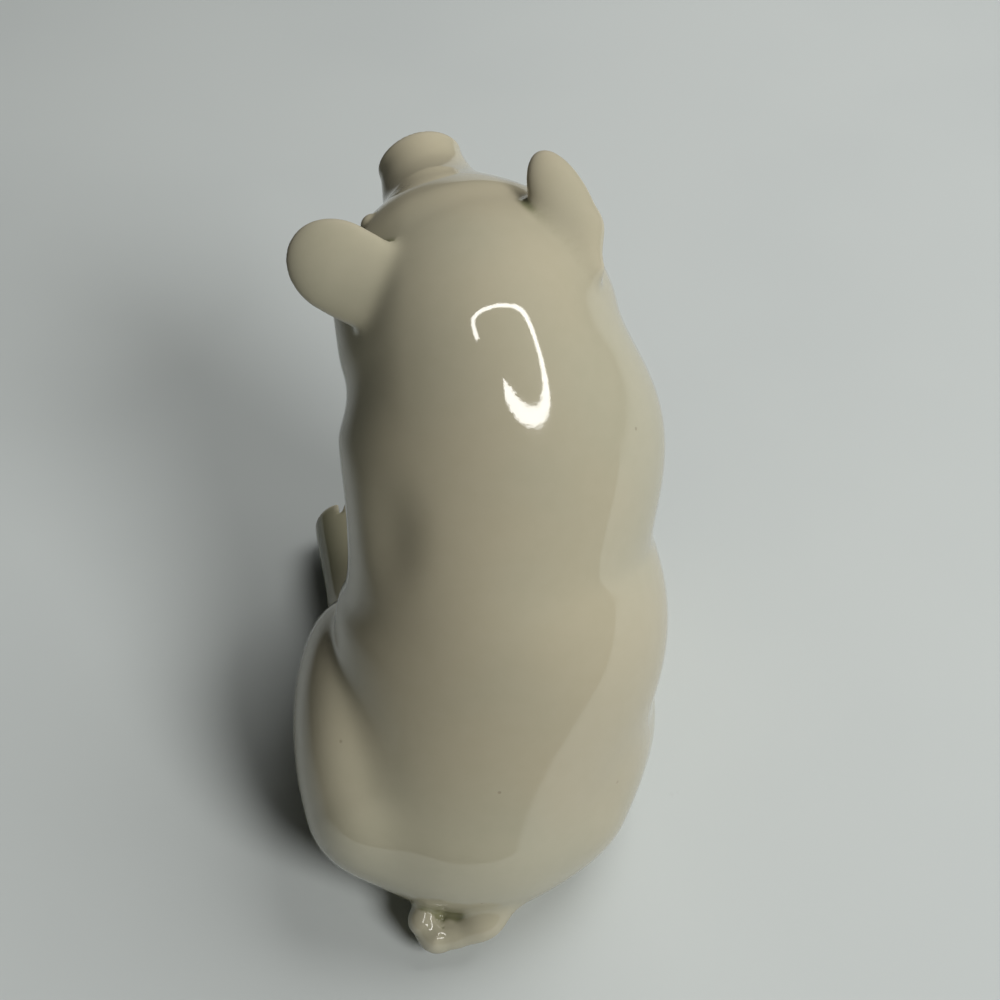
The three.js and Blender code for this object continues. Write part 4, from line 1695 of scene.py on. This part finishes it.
class Studio:
    """The camera, the pale table and the light."""

    LOOK = Vector((-4.0, -3.5, 50.0)) * MM
    DISTANCE = 198.0 * MM
    ELEVATION = 50.0
    FIELD_OF_VIEW = 40.0
    SENSOR = 36.0
    NEAREST = 0.01
    TABLE_HALF = 1.5
    ROOM: Colour = (0.97, 1.0, 0.98)
    ROOM_LIGHT = 0.025
    BACKDROP = 0.5
    RING_COLOUR: Colour = (1.0, 0.99, 0.96)
    RING_LIGHT = 10.5
    LAMPS = (
        SoftLamp("key_lamp", towards=(-0.52, 0.55, 0.65), level=0.7, size=0.36),
        SoftLamp("fill_lamp", towards=(-0.42, -0.34, 0.84), level=0.52, size=0.6),
        SoftLamp("front_lamp", towards=(-0.25, -0.9, 0.35), level=0.2, size=0.6),
    )

    def camera(self) -> None:
        """Sets the camera behind the pig, looking down on its back."""
        data = bpy.data.cameras.new("camera")
        data.sensor_width = self.SENSOR
        data.angle = math.radians(self.FIELD_OF_VIEW)
        data.clip_start = self.NEAREST
        eye = bpy.data.objects.new("camera", data)
        tilt = math.radians(self.ELEVATION)
        back = Vector((0.0, math.cos(tilt), math.sin(tilt)))
        eye.location = self.LOOK + self.DISTANCE * back
        eye.rotation_mode = "QUATERNION"
        eye.rotation_quaternion = (-back).to_track_quat("-Z", "Y")
        bpy.context.scene.collection.objects.link(eye)
        bpy.context.scene.camera = eye

    def _stand(self, mesh: bpy.types.Mesh, paint: bpy.types.Material) -> bpy.types.Object:
        """Sets a piece of the studio up.

        Args:
            mesh: Its shape.
            paint: Its finish.

        Returns:
            The object.
        """
        mesh.materials.append(paint)
        item = bpy.data.objects.new(mesh.name, mesh)
        bpy.context.scene.collection.objects.link(item)
        return item

    def table(self) -> None:
        """Lays the pale table under the pig."""
        half = self.TABLE_HALF
        mesh = bpy.data.meshes.new("table")
        corners = [(-half, -half, 0.0), (half, -half, 0.0), (half, half, 0.0), (-half, half, 0.0)]
        mesh.from_pydata(corners, [], [(0, 1, 2, 3)])
        self._stand(mesh, TableTop().paint())

    def light(self) -> None:
        """Sets the ring lamp that the glaze mirrors, the soft lamps and the room's light."""
        glow = Glow("ring_light", self.RING_COLOUR, self.RING_LIGHT)
        ring = self._stand(RingLamp().mesh(), glow.paint())
        ring.visible_camera = False
        ring.visible_diffuse = False
        for lamp in self.LAMPS:
            lamp.hang()
        world = bpy.data.worlds.new("room")
        world.use_nodes = True
        air = world.node_tree.nodes["Background"]
        air.inputs["Color"].default_value = (*self.ROOM, 1.0)
        level = world.node_tree.nodes.new("ShaderNodeMapRange")
        level.inputs["To Min"].default_value = self.ROOM_LIGHT
        level.inputs["To Max"].default_value = self.BACKDROP
        rays = world.node_tree.nodes.new("ShaderNodeLightPath")
        world.node_tree.links.new(rays.outputs["Is Camera Ray"], level.inputs["Value"])
        world.node_tree.links.new(level.outputs["Result"], air.inputs["Strength"])
        bpy.context.scene.world = world


def dress(piece: Piece, skin: Mesh, paint: bpy.types.Material) -> None:
    """Makes the Blender object of a piece.

    Args:
        piece: The piece.
        skin: The mesh that holds its vertices.
        paint: Its finish.
    """
    used, faces = np.unique(piece.faces, return_inverse=True)
    faces = faces.reshape(-1, 3)
    points = skin.points[used]
    mesh = bpy.data.meshes.new(piece.name + "_casting")
    mesh.from_pydata((points * MM).tolist(), [], faces.tolist())
    mesh.polygons.foreach_set("use_smooth", np.ones(len(faces), bool))
    normals = skin.normals[used][faces]
    a, b, c = (points[faces[:, k]] for k in range(3))
    flat = np.cross(b - a, c - a)
    flat = flat / np.maximum(np.linalg.norm(flat, axis=1, keepdims=True), 1e-9)
    normals[piece.cap] = flat[piece.cap][:, None, :]
    mesh.normals_split_custom_set(normals.reshape(-1, 3).tolist())
    inner = skin.values["inner"][used]
    sole = (skin.normals[used][:, 2] < SOLE_FACING) & (points[:, 2] < SOLE_RISE)
    # painted shade with pooled glaze on the low front, where the trotters sit; kept as the pool value
    trotter_pool_and_shade = ease(-points[:, 1], *TROTTER_AHEAD) * ease(-points[:, 2], *TROTTER_BELOW)
    kept = {"bend": skin.values["bend"][used], "bare": np.maximum(inner, sole), "pool": trotter_pool_and_shade}
    for name, values in kept.items():
        mesh.attributes.new(name, "FLOAT", "POINT").data.foreach_set("value", values.astype(np.float32))
    mesh.materials.append(paint)
    item = bpy.data.objects.new(piece.name + "_casting", mesh)
    bpy.context.scene.collection.objects.link(item)
    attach(item, "root")
    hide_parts(piece.name)


def main() -> None:
    """Builds the pig and its studio."""
    logging.basicConfig(level=logging.INFO, format="%(message)s")
    bpy.context.scene.view_settings.view_transform = "Standard"
    studio = Studio()
    studio.camera()
    studio.table()
    studio.light()
    potter = Potter(Pig())
    skin = potter.make_skin()
    LOG.info("skin: %d vertices, %d faces", len(skin.points), len(skin.faces))
    porcelain = Glaze("porcelain_glaze").paint()
    slip = Glaze("slip_glaze").paint()
    for piece in Parting(potter, skin).pieces():
        dress(piece, skin, slip if piece.name.endswith("_slip") else porcelain)


if __name__ == "__main__":
    main()
